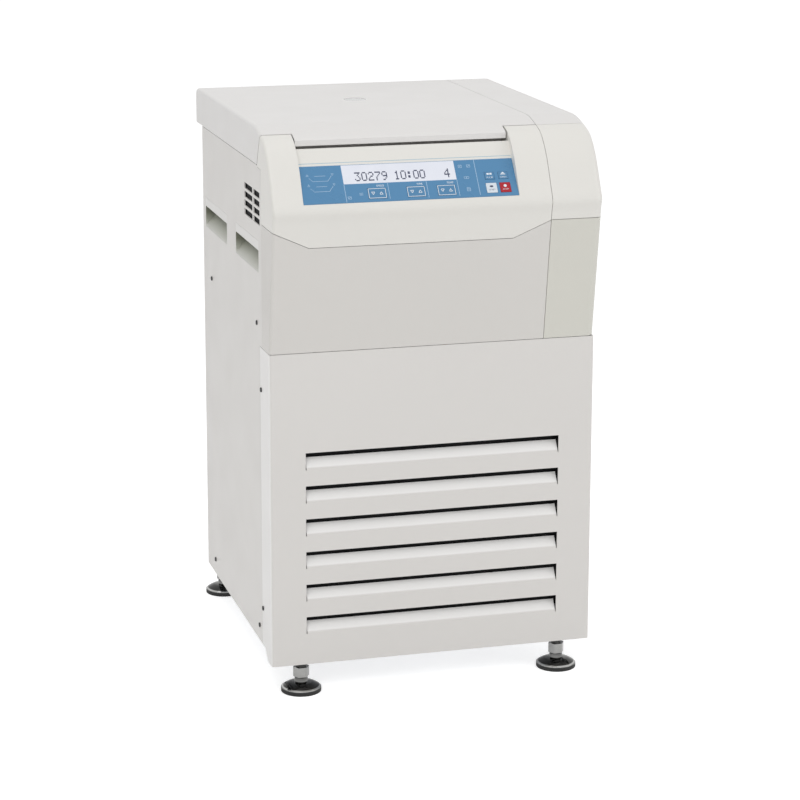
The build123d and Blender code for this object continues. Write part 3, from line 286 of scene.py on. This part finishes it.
paint = {
    "steel": (0.735, 0.715, 0.690),
    "fascia": (0.700, 0.680, 0.650),
    "cream": (0.790, 0.775, 0.735),
    "column": (0.680, 0.670, 0.610),
    "lid": (0.770, 0.755, 0.740),
    "blade": (0.860, 0.850, 0.835),
    "bladeLow": (0.930, 0.920, 0.905),
    "gripRim": (0.830, 0.820, 0.800),
    "gripPocketShade": (0.190, 0.195, 0.150),
    "gripShadeFade": (0.420, 0.430, 0.370),
    "gripFoot": (0.640, 0.640, 0.600),
    "overlay": (0.082, 0.242, 0.440),
    "keyWhite": (0.700, 0.760, 0.820),
    "keyRed": (0.410, 0.003, 0.014),
    "window": (0.690, 0.720, 0.820),
    "rubber": (0.018, 0.018, 0.020),
    "black": (0.012, 0.012, 0.013),
    "foam": (0.560, 0.500, 0.330),
    "print": (0.800, 0.860, 0.920),
    "printPale": (0.400, 0.570, 0.740),
    "printRule": (0.360, 0.520, 0.620),
    "ink": (0.045, 0.055, 0.110),
}

finishes = {
    "panelSteel": coatMaterial("panelSteel", paint["steel"]),
    "fasciaPaint": coatMaterial("fasciaPaint", paint["fascia"], roughness=0.46),
    "creamCover": coatMaterial("creamCover", paint["cream"], roughness=0.40),
    "columnPaint": coatMaterial("columnPaint", paint["column"], roughness=0.44),
    "lidPaint": coatMaterial("lidPaint", paint["lid"], roughness=0.40),
    "filmBlue": coatMaterial("filmBlue", paint["overlay"], 0.30, 0.02, 0.06, 2200.0),
    "keyBlue": coatMaterial(
        "keyBlue", mixColours(paint["overlay"], (0, 0, 0), 0.06), 0.30, 0.02, 0.06, 2200.0),
    "keyWhite": coatMaterial("keyWhite", paint["keyWhite"], 0.28, 0.02, 0.04, 2200.0),
    "keyRed": coatMaterial("keyRed", paint["keyRed"], 0.28, 0.02, 0.05, 2200.0),
    "blackRubber": coatMaterial("blackRubber", paint["rubber"], 0.72, 0.2, 0.3, 1400.0),
    "blackPaint": coatMaterial("blackPaint", paint["black"], 0.5, 0.08, 0.2, 700.0),
    "blackPlastic": coatMaterial(
        "blackPlastic", mixColours(paint["black"], (1, 1, 1), 0.02), 0.45, 0.1, 0.15, 1600.0),
    "foam": coatMaterial("foam", paint["foam"], 0.85, 0.6, 0.2, 260.0),
    "printWhite": coatMaterial("printWhite", paint["print"], 0.35, 0.01, 0.02, 2200.0),
    "printPale": coatMaterial("printPale", paint["printPale"], 0.35, 0.01, 0.02, 2200.0),
    "printRule": coatMaterial("printRule", paint["printRule"], 0.35, 0.01, 0.02, 2200.0),
    "printDark": coatMaterial("printDark", paint["ink"], 0.4, 0.01, 0.05, 2200.0),
    "meshBlack": coatMaterial("meshBlack", (0.004, 0.004, 0.005), 0.9, 0.3, 0.4, 500.0),
    "zincSteel": metalMaterial("zincSteel", (0.62, 0.63, 0.65), 0.38, (60, 60, 60), 0.2),
    "stainless": metalMaterial("stainless", (0.66, 0.66, 0.65), 0.2, (6, 6, 1400)),
    "anodised": metalMaterial("anodised", (0.42, 0.43, 0.45), 0.34, (300, 300, 300), 0.1),
    "copperTube": metalMaterial("copperTube", (0.72, 0.36, 0.22), 0.28, (120, 120, 120), 0.2),
    "clearPort": clearMaterial("clearPort", (0.74, 0.75, 0.74)),
}


def windowMaterial():
    # lit display: even pale blue glow under a clear film
    material, tree, shader, place = newMaterial("litWindow")
    noise = tree.nodes.new("ShaderNodeTexNoise")
    noise.inputs["Scale"].default_value = 18.0
    tone = tree.nodes.new("ShaderNodeMix")
    tone.data_type = "RGBA"
    tone.inputs["A"].default_value = (*paint["window"], 1)
    tone.inputs["B"].default_value = (*mixColours(paint["window"], (1, 1, 1), 0.5), 1)
    shader.inputs["Roughness"].default_value = 0.25
    shader.inputs["Emission Strength"].default_value = 0.04
    linkAll(tree, [
        (place.outputs["Object"], noise.inputs["Vector"]),
        (noise.outputs["Fac"], tone.inputs["Factor"]),
        (tone.outputs["Result"], shader.inputs["Base Color"]),
        (tone.outputs["Result"], shader.inputs["Emission Color"]),
    ])
    return material


finishes["litWindow"] = windowMaterial()


def heightBand(tree, place, axis, stops):
    # ramp along one object axis; stops are (position in metres, colour)
    split = tree.nodes.new("ShaderNodeSeparateXYZ")
    span = tree.nodes.new("ShaderNodeMapRange")
    low, high = stops[0][0], stops[-1][0]
    span.inputs["From Min"].default_value = low
    span.inputs["From Max"].default_value = high
    ramp = tree.nodes.new("ShaderNodeValToRGB")
    points = ramp.color_ramp.elements
    while len(points) < len(stops):
        points.new(0.5)
    for point, (position, colour) in zip(points, stops):
        point.position = (position - low) / (high - low)
        point.color = (*colour, 1)
    linkAll(tree, [
        (place.outputs["Object"], split.inputs[0]),
        (split.outputs[axis], span.inputs["Value"]),
        (span.outputs["Result"], ramp.inputs["Fac"]),
    ])
    return ramp.outputs["Color"]


def gradedCoat(name, roughness, axis, stops, peel=0.05):
    # painted or moulded surface whose tone changes with depth or height: used for the painted highlight on
    # the louvre blades and the painted shade in the grip pockets
    material, tree, shader, place = newMaterial(name)
    group = tree.nodes.new("ShaderNodeGroup")
    group.node_tree = coatGroup
    group.inputs["Peel Size"].default_value = 900.0
    group.inputs["Peel Height"].default_value = peel
    group.inputs["Tone Spread"].default_value = 0.03
    group.inputs["Roughness"].default_value = roughness
    linkAll(tree, [
        (place.outputs["Object"], group.inputs["Vector"]),
        (heightBand(tree, place, axis, stops), group.inputs["Colour"]),
        (group.outputs["Colour"], shader.inputs["Base Color"]),
        (group.outputs["Roughness"], shader.inputs["Roughness"]),
    ])
    addBump(tree, shader, group.outputs["Height"], relief["coatStrength"], relief["coatDepth"])
    return material


def grey(tone):
    return tone, tone, tone * 0.98


def footMaterial(floorLevel):
    # one stack: rubber ring, polished disc, hexagon and threaded stud; the dark and bright bands on the
    # metal are painted reflections
    material, tree, shader, place = newMaterial("levellingFoot")
    paintedReflectionBands = heightBand(tree, place, "Z", [
        (floorLevel, grey(0.012)), (floorLevel + 0.0068, grey(0.012)),
        (floorLevel + 0.0072, grey(0.62)), (floorLevel + 0.0092, grey(0.5)),
        (floorLevel + 0.0098, grey(0.05)), (floorLevel + 0.0150, grey(0.06)),
        (floorLevel + 0.0175, grey(0.20)), (floorLevel + 0.0254, grey(0.11)),
        (floorLevel + 0.0256, grey(0.34)), (floorLevel + 0.0424, grey(0.36)),
        (floorLevel + 0.0426, grey(0.13)), (floorLevel + 0.0900, grey(0.11)),
    ])
    metal = heightBand(tree, place, "Z", [
        (floorLevel, grey(0.0)), (floorLevel + 0.0069, grey(0.0)),
        (floorLevel + 0.0071, (1, 1, 1)), (floorLevel + 0.0900, (1, 1, 1)),
    ])
    rough = heightBand(tree, place, "Z", [
        (floorLevel, grey(0.7)), (floorLevel + 0.0069, grey(0.7)),
        (floorLevel + 0.0071, grey(0.07)), (floorLevel + 0.0254, grey(0.10)),
        (floorLevel + 0.0256, grey(0.24)), (floorLevel + 0.0900, grey(0.28)),
    ])
    thread = tree.nodes.new("ShaderNodeTexWave")
    thread.bands_direction = "Z"
    thread.inputs["Scale"].default_value = 160.0
    only = heightBand(tree, place, "Z", [
        (floorLevel + 0.0420, grey(0.0)), (floorLevel + 0.0430, (1, 1, 1)), (floorLevel + 0.0900, (1, 1, 1)),
    ])
    masked = tree.nodes.new("ShaderNodeMath")
    masked.operation = "MULTIPLY"
    wear = tree.nodes.new("ShaderNodeTexNoise")
    wear.inputs["Scale"].default_value = 70.0
    blend = tree.nodes.new("ShaderNodeMix")
    blend.data_type = "RGBA"
    blend.blend_type = "MULTIPLY"
    blend.inputs["Factor"].default_value = 0.35
    linkAll(tree, [
        (place.outputs["Object"], wear.inputs["Vector"]),
        (place.outputs["Object"], thread.inputs["Vector"]),
        (paintedReflectionBands, blend.inputs["A"]),
        (wear.outputs["Fac"], blend.inputs["B"]),
        (blend.outputs["Result"], shader.inputs["Base Color"]),
        (metal, shader.inputs["Metallic"]),
        (rough, shader.inputs["Roughness"]),
        (thread.outputs["Fac"], masked.inputs[0]),
        (only, masked.inputs[1]),
    ])
    addBump(tree, shader, masked.outputs[0], relief["threadStrength"], relief["coatDepth"])
    return material


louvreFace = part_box("front_louvre_panel")[0].y
gripFoot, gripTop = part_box("side_grips")[0].z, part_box("side_grips")[1].z
# louvre blades behind the front face are painted lighter than the steel, brightest just behind it: painted
# highlight where the blades catch the light
finishes["louvreSteelPaintedHighlight"] = gradedCoat("louvreSteelPaintedHighlight", 0.42, "Y", [
    (louvreFace, paint["steel"]), (louvreFace + 0.0006, paint["steel"]),
    (louvreFace + 0.0022, paint["bladeLow"]), (louvreFace + 0.009, paint["blade"]),
    (louvreFace + 0.020, paint["blade"]),
])
# grip pocket painted darker towards its top, darkest just under the rim: painted shade where the rim shades
# the pocket
finishes["gripPlasticPaintedShade"] = gradedCoat("gripPlasticPaintedShade", 0.55, "Z", [
    (gripFoot, paint["gripFoot"]), (gripTop - 0.040, paint["gripShadeFade"]),
    (gripTop - 0.0270, paint["gripPocketShade"]), (gripTop - 0.0160, paint["gripPocketShade"]),
    (gripTop - 0.0156, paint["gripRim"]), (gripTop, paint["gripRim"]),
])
finishes["levellingFoot"] = footMaterial(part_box("front_left_foot")[0].z)

nodeFinishes = {
    "panelSteel": ["left_side_panel", "right_side_panel", "rear_panel"],
    "louvreSteelPaintedHighlight": ["front_louvre_panel"],
    "gripPlasticPaintedShade": ["side_grips"],
    "fasciaPaint": ["front_fascia"],
    "creamCover": ["control_housing", "right_upper_cover"],
    "columnPaint": ["right_lower_cover"],
    "lidPaint": ["lid_shell", "right_top_cover"],
    "filmBlue": ["keypad_overlay"],
    "keyBlue": ["pulse_key", "lid_key", "speed_key", "time_key", "temperature_key"],
    "keyWhite": ["start_key"],
    "keyRed": ["stop_key"],
    "litWindow": ["display_window"],
    "clearPort": ["viewing_port"],
    "blackRubber": ["chamber_gasket", "motor_dampers"],
    "blackPaint": ["armour_ring", "motor", "compressor", "cover_screws", "latch_hooks", "condenser"],
    "blackPlastic": ["condenser_fan", "mains_inlet", "switch_frame", "mains_switch"],
    "foam": ["chamber_insulation"],
    "zincSteel": [
        "base_pan", "frame", "deck_plate", "motor_shelf", "fan_shroud", "latch_housings",
        "hinge_brackets", "electronics", "lid_hinge_leaves",
    ],
    "stainless": ["chamber_bowl", "lid_liner", "lid_strikers", "hinge_pins", "drive_spindle"],
    "levellingFoot": ["front_left_foot", "front_right_foot", "rear_left_foot", "rear_right_foot"],
    "anodised": ["rotor_cross", "rotor_nut", "bucket_1", "bucket_2", "bucket_3", "bucket_4"],
    "copperTube": ["evaporator_coil", "refrigerant_pipes"],
}
for finishName, names in nodeFinishes.items():
    for nodeName in names:
        slots = nodes[nodeName].material_slots
        if slots:
            for slot in slots:
                slot.material = finishes[finishName]
        else:
            nodes[nodeName].data.materials.append(finishes[finishName])
print("materials placed on", sum(len(names) for names in nodeFinishes.values()), "nodes")


def panelFrame():
    # outer face of the overlay: its normal, the way down it, and where it starts
    mesh = nodes["keypad_overlay"].data
    face = max(mesh.polygons, key=lambda polygon: polygon.area if polygon.normal.z > 0.3 else 0)
    normal = face.normal.copy()
    down = Vector((0, -normal.z, normal.y))
    level = max(vertex.co.dot(normal) for vertex in mesh.vertices)
    start = min(vertex.co.dot(down) for vertex in mesh.vertices)
    return normal, down, level, start


panelNormal, panelDown, panelLevel, panelStart = panelFrame()
panelValues = {
    "topOffset": 0.0335,  # overlay's top edge, measured down the panel
    "printLift": 0.00006,
    "windowDrop": -0.0001,
    "keyRise": 0.0003,
}


def panelPoint(across, down, rise=0.0):
    along = panelStart + down / 1000 - panelValues["topOffset"]
    flat = panelDown * along + panelNormal * (panelLevel + rise + panelValues["printLift"])
    return Vector((across / 1000, flat.y, flat.z))


def lineShape(first, second, width):
    a, b = Vector(first), Vector(second)
    side = (b - a).normalized().orthogonal() * width / 2
    return [a + side, b + side, b - side, a - side]


def boxShapes(centre, size, width):
    x, y = centre
    halfWide, halfTall = size[0] / 2, size[1] / 2
    corners = [
        (x - halfWide, y - halfTall), (x + halfWide, y - halfTall),
        (x + halfWide, y + halfTall), (x - halfWide, y + halfTall),
    ]
    shapes = []
    for a, b in zip(corners, corners[1:] + corners[:1]):
        reach = (Vector(b) - Vector(a)).normalized() * width / 2
        shapes.append(lineShape(Vector(a) - reach, Vector(b) + reach, width))
    return shapes


def roundShape(centre, size, count=24):
    return [
        (centre[0] + size[0] / 2 * math.cos(turn), centre[1] + size[1] / 2 * math.sin(turn))
        for turn in (2 * math.pi * step / count for step in range(count))
    ]


def triangleShapes(centre, size, pointsUp, width):
    x, y = centre
    flip = -1 if pointsUp else 1
    tip = (x, y + flip * size / 2)
    left, right = (x - size * 0.56, y - flip * size / 2), (x + size * 0.56, y - flip * size / 2)
    return [lineShape(left, right, width), lineShape(left, tip, width), lineShape(right, tip, width)]


def wordMesh(text, height):
    curve = bpy.data.curves.new("word", "FONT")
    curve.body = text
    curve.size = height
    curve.align_x = "CENTER"
    curve.align_y = "CENTER"
    curve.resolution_u = 3
    thing = bpy.data.objects.new("word", curve)
    bpy.context.scene.collection.objects.link(thing)
    bpy.context.view_layer.update()
    mesh = bpy.data.meshes.new_from_object(thing.evaluated_get(bpy.context.evaluated_depsgraph_get()))
    faces = [[tuple(mesh.vertices[index].co[:2]) for index in polygon.vertices] for polygon in mesh.polygons]
    bpy.data.objects.remove(thing)
    bpy.data.curves.remove(curve)
    bpy.data.meshes.remove(mesh)
    return faces


def wordShapes(text, centre, height):
    return [
        [(centre[0] + x, centre[1] - y) for x, y in face]
        for face in wordMesh(text, height)
    ]


def printPiece(name, shapes, finish, body, rise=0.0):
    mesh = bpy.data.meshes.new(name)
    shape = bmesh.new()
    for outline in shapes:
        corners = [shape.verts.new(panelPoint(point[0], point[1], rise)) for point in outline]
        face = shape.faces.new(corners)
        face.normal_update()
        if face.normal.dot(panelNormal) < 0:
            face.normal_flip()
    shape.to_mesh(mesh)
    shape.free()
    piece = bpy.data.objects.new(name, mesh)
    bpy.context.scene.collection.objects.link(piece)
    mesh.materials.append(finishes[finish])
    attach(piece, body)


graph = {"left": -215, "right": -173, "rows": [(50, 52, 61.6), (68.6, 71.4, 80.6)], "line": 0.7}


def graphShapes():
    # acceleration and braking diagram: two flat-bottomed curves with a short bar above each
    shapes = []
    for iconY, barY, footY in graph["rows"]:
        shapes.append(lineShape((-203, barY), (-185, barY), graph["line"]))
        shapes.append(lineShape((-207, footY), (-182, footY), graph["line"]))
        shapes.append(lineShape((-182, footY), (-175, barY), graph["line"]))
        shapes.append(lineShape((-207, footY), (-213, barY + 3), graph["line"] * 0.8))
        for x in (graph["left"], graph["right"]):
            shapes += triangleShapes((x, iconY), 3.6, x < -200, 0.6)
    return shapes


def fieldShapes():
    shapes = [
        lineShape((-157, 70), (-157, 102.5), 0.9),
        lineShape((-84.3, 70), (-84.3, 99), 0.8),
        lineShape((-19.2, 70), (-19.2, 100), 0.8),
        lineShape((33, 69.5), (33, 99.5), 0.8),
        lineShape((67.8, 34), (67.8, 99.5), 0.9),
    ]
    for x, y in ((42.5, 45), (56.8, 45)):
        shapes += boxShapes((x, y), (5.4, 4.6), 0.7)
        shapes.append(lineShape((x - 1.5, y + 0.8), (x + 1.8, y - 1.2), 0.9))
    shapes += boxShapes((50.2, 66.6), (8, 3.6), 0.7)
    shapes.append(roundShape((50.2, 66.6), (1.8, 1.8)))
    shapes += boxShapes((50.2, 88.2), (5.6, 6.2), 0.7)
    shapes += [lineShape((47.9, y), (52.5, y), 0.7) for y in (86.9, 89.3)]
    shapes += boxShapes((-151, 94.4), (5.2, 4.4), 0.7)
    shapes.append(lineShape((-153, 95.8), (-149, 93), 0.7))
    shapes += [lineShape((-134, y), (-128, y), 0.7) for y in (86.6, 88.4, 90.2)]
    return shapes


def labelShapes():
    labels = {"SPEED": -97.2, "TIME": -31.0, "TEMP": 20.6}
    return [shape for text, x in labels.items() for shape in wordShapes(text, (x, 74.4), 4.9)]


printPiece("panelPrint", graphShapes() + fieldShapes(), "printPale", "cabinet")
printPiece("panelLabels", labelShapes(), "printWhite", "cabinet")

rockers = {"speed_key": -104.2, "time_key": -38.8, "temperature_key": 12.6}
rockerPrint = {"down": 88, "frame": (28.6, 17.2), "line": 0.9, "arrow": 4.8, "apart": 6.8}
for keyName, x in rockers.items():
    outline = boxShapes((x, rockerPrint["down"]), rockerPrint["frame"], rockerPrint["line"])
    for side, pointsUp in ((-1, False), (1, True)):
        place = (x + side * rockerPrint["apart"], rockerPrint["down"])
        outline += triangleShapes(place, rockerPrint["arrow"], pointsUp, rockerPrint["line"])
    printPiece(keyName + "_print", outline, "printWhite", keyName, panelValues["keyRise"])

pushKeys = {
    "start_key": {"ink": "printDark", "slot": "black_plastic", "parts": [
        roundShape((89.4, 84.8), (6.2, 3.6)), *wordShapes("START", (89.4, 91.2), 3.9)]},
    "stop_key": {"ink": "printWhite", "slot": "key_white", "parts": [
        roundShape((112.8, 84.6), (5.2, 5.2)), *wordShapes("STOP", (112.8, 91.2), 4.1)]},
    "pulse_key": {"ink": "printWhite", "slot": "key_white", "parts": [
        [(85, 59.8), (89, 59.8), (89, 63.2), (85, 63.2)],
        [(89.8, 59.8), (93.8, 59.8), (93.8, 63.2), (89.8, 63.2)],
        *wordShapes("PULSE", (89.4, 68.2), 4.0)]},
    "lid_key": {"ink": "printWhite", "slot": "key_white", "parts": [
        [(109, 62.2), (116.6, 62.2), (112.8, 58.6)],
        [(108.6, 62.8), (117, 62.8), (117, 63.8), (108.6, 63.8)],
        *wordShapes("OPEN", (112.8, 68.4), 4.0)]},
}
for keyName, values in pushKeys.items():
    printPiece(
        keyName + "_print", values["parts"], values["ink"], keyName,
        panelValues["keyRise"],
    )

# pale blue rule along the foot of the plain strip
fascia = {"ruleTop": 27.6, "ruleFoot": 28.6, "left": -228.6, "right": 133.6}
stripDrop = -0.0008
printPiece("stripRule", [[
    (fascia["left"], fascia["ruleTop"]), (fascia["right"], fascia["ruleTop"]),
    (fascia["right"], fascia["ruleFoot"]), (fascia["left"], fascia["ruleFoot"]),
]], "printRule", "cabinet", stripDrop)
print("panel print made")


def stampTree():
    # sets one small flat tile on every point, turned to the slope of the panel
    tree = bpy.data.node_groups.new("stampTiles", "GeometryNodeTree")
    tree.interface.new_socket("Geometry", in_out="INPUT", socket_type="NodeSocketGeometry")
    for label, kind in (
        ("Wide", "NodeSocketFloat"), ("Tall", "NodeSocketFloat"),
        ("Tilt", "NodeSocketFloat"), ("Finish", "NodeSocketMaterial"),
    ):
        tree.interface.new_socket(label, in_out="INPUT", socket_type=kind)
    tree.interface.new_socket("Geometry", in_out="OUTPUT", socket_type="NodeSocketGeometry")
    make = tree.nodes.new
    start, end = make("NodeGroupInput"), make("NodeGroupOutput")
    tile = make("GeometryNodeMeshGrid")
    tile.inputs["Vertices X"].default_value = 2
    tile.inputs["Vertices Y"].default_value = 2
    turn = make("ShaderNodeCombineXYZ")
    stamp = make("GeometryNodeInstanceOnPoints")
    real = make("GeometryNodeRealizeInstances")
    finish = make("GeometryNodeSetMaterial")
    linkAll(tree, [
        (start.outputs["Wide"], tile.inputs["Size X"]),
        (start.outputs["Tall"], tile.inputs["Size Y"]),
        (start.outputs["Tilt"], turn.inputs["X"]),
        (start.outputs["Geometry"], stamp.inputs["Points"]),
        (tile.outputs["Mesh"], stamp.inputs["Instance"]),
        (turn.outputs["Vector"], stamp.inputs["Rotation"]),
        (stamp.outputs["Instances"], real.inputs["Geometry"]),
        (real.outputs["Geometry"], finish.inputs["Geometry"]),
        (start.outputs["Finish"], finish.inputs["Material"]),
        (finish.outputs["Geometry"], end.inputs["Geometry"]),
    ])
    return tree


def runTree(name, points, tree, values):
    # a mesh of loose points goes through the tree once and comes out as a plain mesh
    seed = bpy.data.meshes.new(name + "Seed")
    seed.from_pydata(points, [], [])
    thing = bpy.data.objects.new(name + "Seed", seed)
    bpy.context.scene.collection.objects.link(thing)
    modifier = thing.modifiers.new("make", "NODES")
    modifier.node_group = tree
    for item in tree.interface.items_tree:
        if item.item_type == "SOCKET" and item.in_out == "INPUT" and item.name in values:
            modifier[item.identifier] = values[item.name]
    bpy.context.view_layer.update()
    mesh = bpy.data.meshes.new_from_object(thing.evaluated_get(bpy.context.evaluated_depsgraph_get()))
    mesh.name = name
    dropOrphan(thing)
    piece = bpy.data.objects.new(name, mesh)
    bpy.context.scene.collection.objects.link(piece)
    return piece


digitRows = {
    "0": ("01110", "10001", "10001", "10001", "10001", "10001", "01110"),
    "1": ("00100", "01100", "00100", "00100", "00100", "00100", "01110"),
    "2": ("01110", "10001", "00001", "00110", "01000", "10000", "11111"),
    "3": ("11111", "00010", "00100", "00010", "00001", "10001", "01110"),
    "4": ("00010", "00110", "01010", "10010", "11111", "00010", "00010"),
    "7": ("11111", "00001", "00010", "00100", "01000", "01000", "01000"),
    "9": ("01110", "10001", "10001", "01111", "00001", "00010", "01100"),
    ":": ("00000", "01100", "01100", "00000", "01100", "01100", "00000"),
}
display = {
    "groups": [("30279", -135.8, 11.3), ("10:00", -69.6, 10.7), ("4", 15.0, 11.0)],
    "top": 49.0, "columnStep": 1.86, "rowStep": 2.36, "dot": (0.00182, 0.00228),
}


def displayPoints():
    points = []
    for text, left, pitch in display["groups"]:
        for place, letter in enumerate(text):
            for row, cells in enumerate(digitRows[letter]):
                for column, cell in enumerate(cells):
                    if cell == "1":
                        across = left + place * pitch + column * display["columnStep"]
                        down = display["top"] + row * display["rowStep"]
                        points.append(panelPoint(across, down, panelValues["windowDrop"]))
    return points


tileTree = stampTree()
digits = runTree("displayDigits", displayPoints(), tileTree, {
    "Wide": display["dot"][0], "Tall": display["dot"][1],
    "Tilt": math.acos(panelNormal.z), "Finish": finishes["printDark"],
})
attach(digits, "cabinet")
print("display digits made")


def plateMesh(name, low, high):
    mesh = bpy.data.meshes.new(name)
    shape = bmesh.new()
    bmesh.ops.create_cube(shape, size=1)
    low, high = Vector(low), Vector(high)
    for vertex in shape.verts:
        vertex.co = (low + high) / 2 + Vector(
            (vertex.co.x * (high.x - low.x), vertex.co.y * (high.y - low.y), vertex.co.z * (high.z - low.z))
        )
    shape.to_mesh(mesh)
    shape.free()
    return mesh


def addPlate(name, low, high, finish):
    mesh = plateMesh(name, low, high)
    mesh.materials.append(finishes[finish])
    piece = bpy.data.objects.new(name, mesh)
    bpy.context.scene.collection.objects.link(piece)
    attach(piece, "cabinet")


sideLow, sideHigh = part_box("left_side_panel")
vent = {
    "front": -0.218, "rear": -0.092, "inset": 0.004, "thick": 0.001,
    "foot": sideHigh.z - 0.108, "top": sideHigh.z - 0.038,
}
addPlate(
    "ventScreen",
    (sideLow.x + vent["inset"], vent["front"], vent["foot"]),
    (sideLow.x + vent["inset"] + vent["thick"], vent["rear"], vent["top"]),
    "meshBlack",
)
louvreLow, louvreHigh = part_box("front_louvre_panel")
# black mat behind the louvres: a dust filter, and also painted shade for the dark interior seen between the
# blades
filterShadeValues = {"inset": 0.018, "thick": 0.003, "half": 0.226, "foot": 0.062, "below": 0.165}
addPlate(
    "filterMatAndShade",
    (-filterShadeValues["half"], louvreLow.y + filterShadeValues["inset"], louvreLow.z + filterShadeValues["foot"]),
    (
        filterShadeValues["half"],
        louvreLow.y + filterShadeValues["inset"] + filterShadeValues["thick"],
        louvreHigh.z - filterShadeValues["below"],
    ),
    "meshBlack",
)
print("backing plates made")


studio = {
    "whiteLevel": 1.0, "worldLevel": 0.62, "floorShade": (0.86, 0.86, 0.86), "floorLift": 0.55,
    "floorSize": 12, "floorDrop": 0.0002, "aim": (0, 0, 0.5),
    "lamps": [
        ("keyLamp", (-1.6, -3.2, 3.4), (2.6, 2.6), 46),
        ("fillLamp", (3.4, -2.2, 1.8), (2.4, 2.4), 24),
        ("topLamp", (-0.4, 0.4, 3.6), (2.4, 2.4), 10),
    ],
}


def floorMaterial():
    # matt floor that holds the shadow; the camera and mirrors see it lifted to white
    material = bpy.data.materials.new("floorWhite")
    material.use_nodes = True
    tree = material.node_tree
    tree.nodes.clear()
    make = tree.nodes.new
    output = make("ShaderNodeOutputMaterial")
    matt = make("ShaderNodeBsdfDiffuse")
    matt.inputs["Color"].default_value = (*studio["floorShade"], 1)
    glow = make("ShaderNodeEmission")
    path = make("ShaderNodeLightPath")
    first = make("ShaderNodeMath")
    first.operation = "MAXIMUM"
    second = make("ShaderNodeMath")
    second.operation = "MAXIMUM"
    lift = make("ShaderNodeMath")
    lift.operation = "MULTIPLY"
    lift.inputs[1].default_value = studio["floorLift"]
    total = make("ShaderNodeAddShader")
    linkAll(tree, [
        (path.outputs["Is Camera Ray"], first.inputs[0]),
        (path.outputs["Is Transmission Ray"], first.inputs[1]),
        (first.outputs[0], second.inputs[0]),
        (path.outputs["Is Glossy Ray"], second.inputs[1]),
        (second.outputs[0], lift.inputs[0]),
        (lift.outputs[0], glow.inputs["Strength"]),
        (matt.outputs[0], total.inputs[0]),
        (glow.outputs[0], total.inputs[1]),
        (total.outputs[0], output.inputs["Surface"]),
    ])
    return material


def makeFloor():
    mesh = bpy.data.meshes.new("studioFloor")
    shape = bmesh.new()
    bmesh.ops.create_grid(shape, x_segments=1, y_segments=1, size=studio["floorSize"])
    shape.to_mesh(mesh)
    shape.free()
    floor = bpy.data.objects.new("studioFloor", mesh)
    bpy.context.scene.collection.objects.link(floor)
    floor.location.z = cadBox[0][2] - studio["floorDrop"]
    mesh.materials.append(floorMaterial())


def makeWorld():
    world = bpy.data.worlds.new("studioWorld")
    bpy.context.scene.world = world
    world.use_nodes = True
    tree = world.node_tree
    tree.nodes.clear()
    make = tree.nodes.new
    output = make("ShaderNodeOutputWorld")
    plain = make("ShaderNodeBackground")
    plain.inputs["Strength"].default_value = studio["worldLevel"]
    white = make("ShaderNodeBackground")
    white.inputs["Strength"].default_value = studio["whiteLevel"]
    path = make("ShaderNodeLightPath")
    first = make("ShaderNodeMath")
    first.operation = "MAXIMUM"
    second = make("ShaderNodeMath")
    second.operation = "MAXIMUM"
    mix = make("ShaderNodeMixShader")
    for background in (plain, white):
        background.inputs["Color"].default_value = (1, 1, 1, 1)
    linkAll(tree, [
        (path.outputs["Is Camera Ray"], first.inputs[0]),
        (path.outputs["Is Glossy Ray"], first.inputs[1]),
        (first.outputs[0], second.inputs[0]),
        (path.outputs["Is Transmission Ray"], second.inputs[1]),
        (second.outputs[0], mix.inputs["Fac"]),
        (plain.outputs[0], mix.inputs[1]),
        (white.outputs[0], mix.inputs[2]),
        (mix.outputs[0], output.inputs["Surface"]),
    ])


def makeLamp(name, place, aim, size, power):
    lamp = bpy.data.lights.new(name, "AREA")
    lamp.shape = "RECTANGLE"
    lamp.size, lamp.size_y = size
    lamp.energy = power
    thing = bpy.data.objects.new(name, lamp)
    thing.location = place
    direction = Vector(aim) - Vector(place)
    thing.rotation_euler = direction.to_track_quat("-Z", "Y").to_euler()
    bpy.context.scene.collection.objects.link(thing)


def makeCamera():
    view = {
        "place": (-1.1628, -4.2132, 1.5515),
        "yaw": 0.267,
        "pitch": 0.221,
        "roll": -0.001,
        "lens": 114.71,
        "sensor": 36.0,
        "shift": (0.0194, -0.10),
    }
    camera = bpy.data.cameras.new("camera")
    camera.lens = view["lens"]
    camera.sensor_width = view["sensor"]
    camera.shift_x, camera.shift_y = view["shift"]
    thing = bpy.data.objects.new("camera", camera)
    turn = Matrix.Rotation(-view["yaw"], 4, "Z") @ Matrix.Rotation(math.pi / 2 - view["pitch"], 4, "X")
    turn = turn @ Matrix.Rotation(-view["roll"], 4, "Z")
    thing.matrix_world = Matrix.Translation(view["place"]) @ turn
    bpy.context.scene.collection.objects.link(thing)
    bpy.context.scene.camera = thing


makeFloor()
makeWorld()
for lampName, lampPlace, lampSize, lampPower in studio["lamps"]:
    makeLamp(lampName, lampPlace, studio["aim"], lampSize, lampPower)
makeCamera()
bpy.context.scene.view_settings.view_transform = "Standard"
print("studio ready")
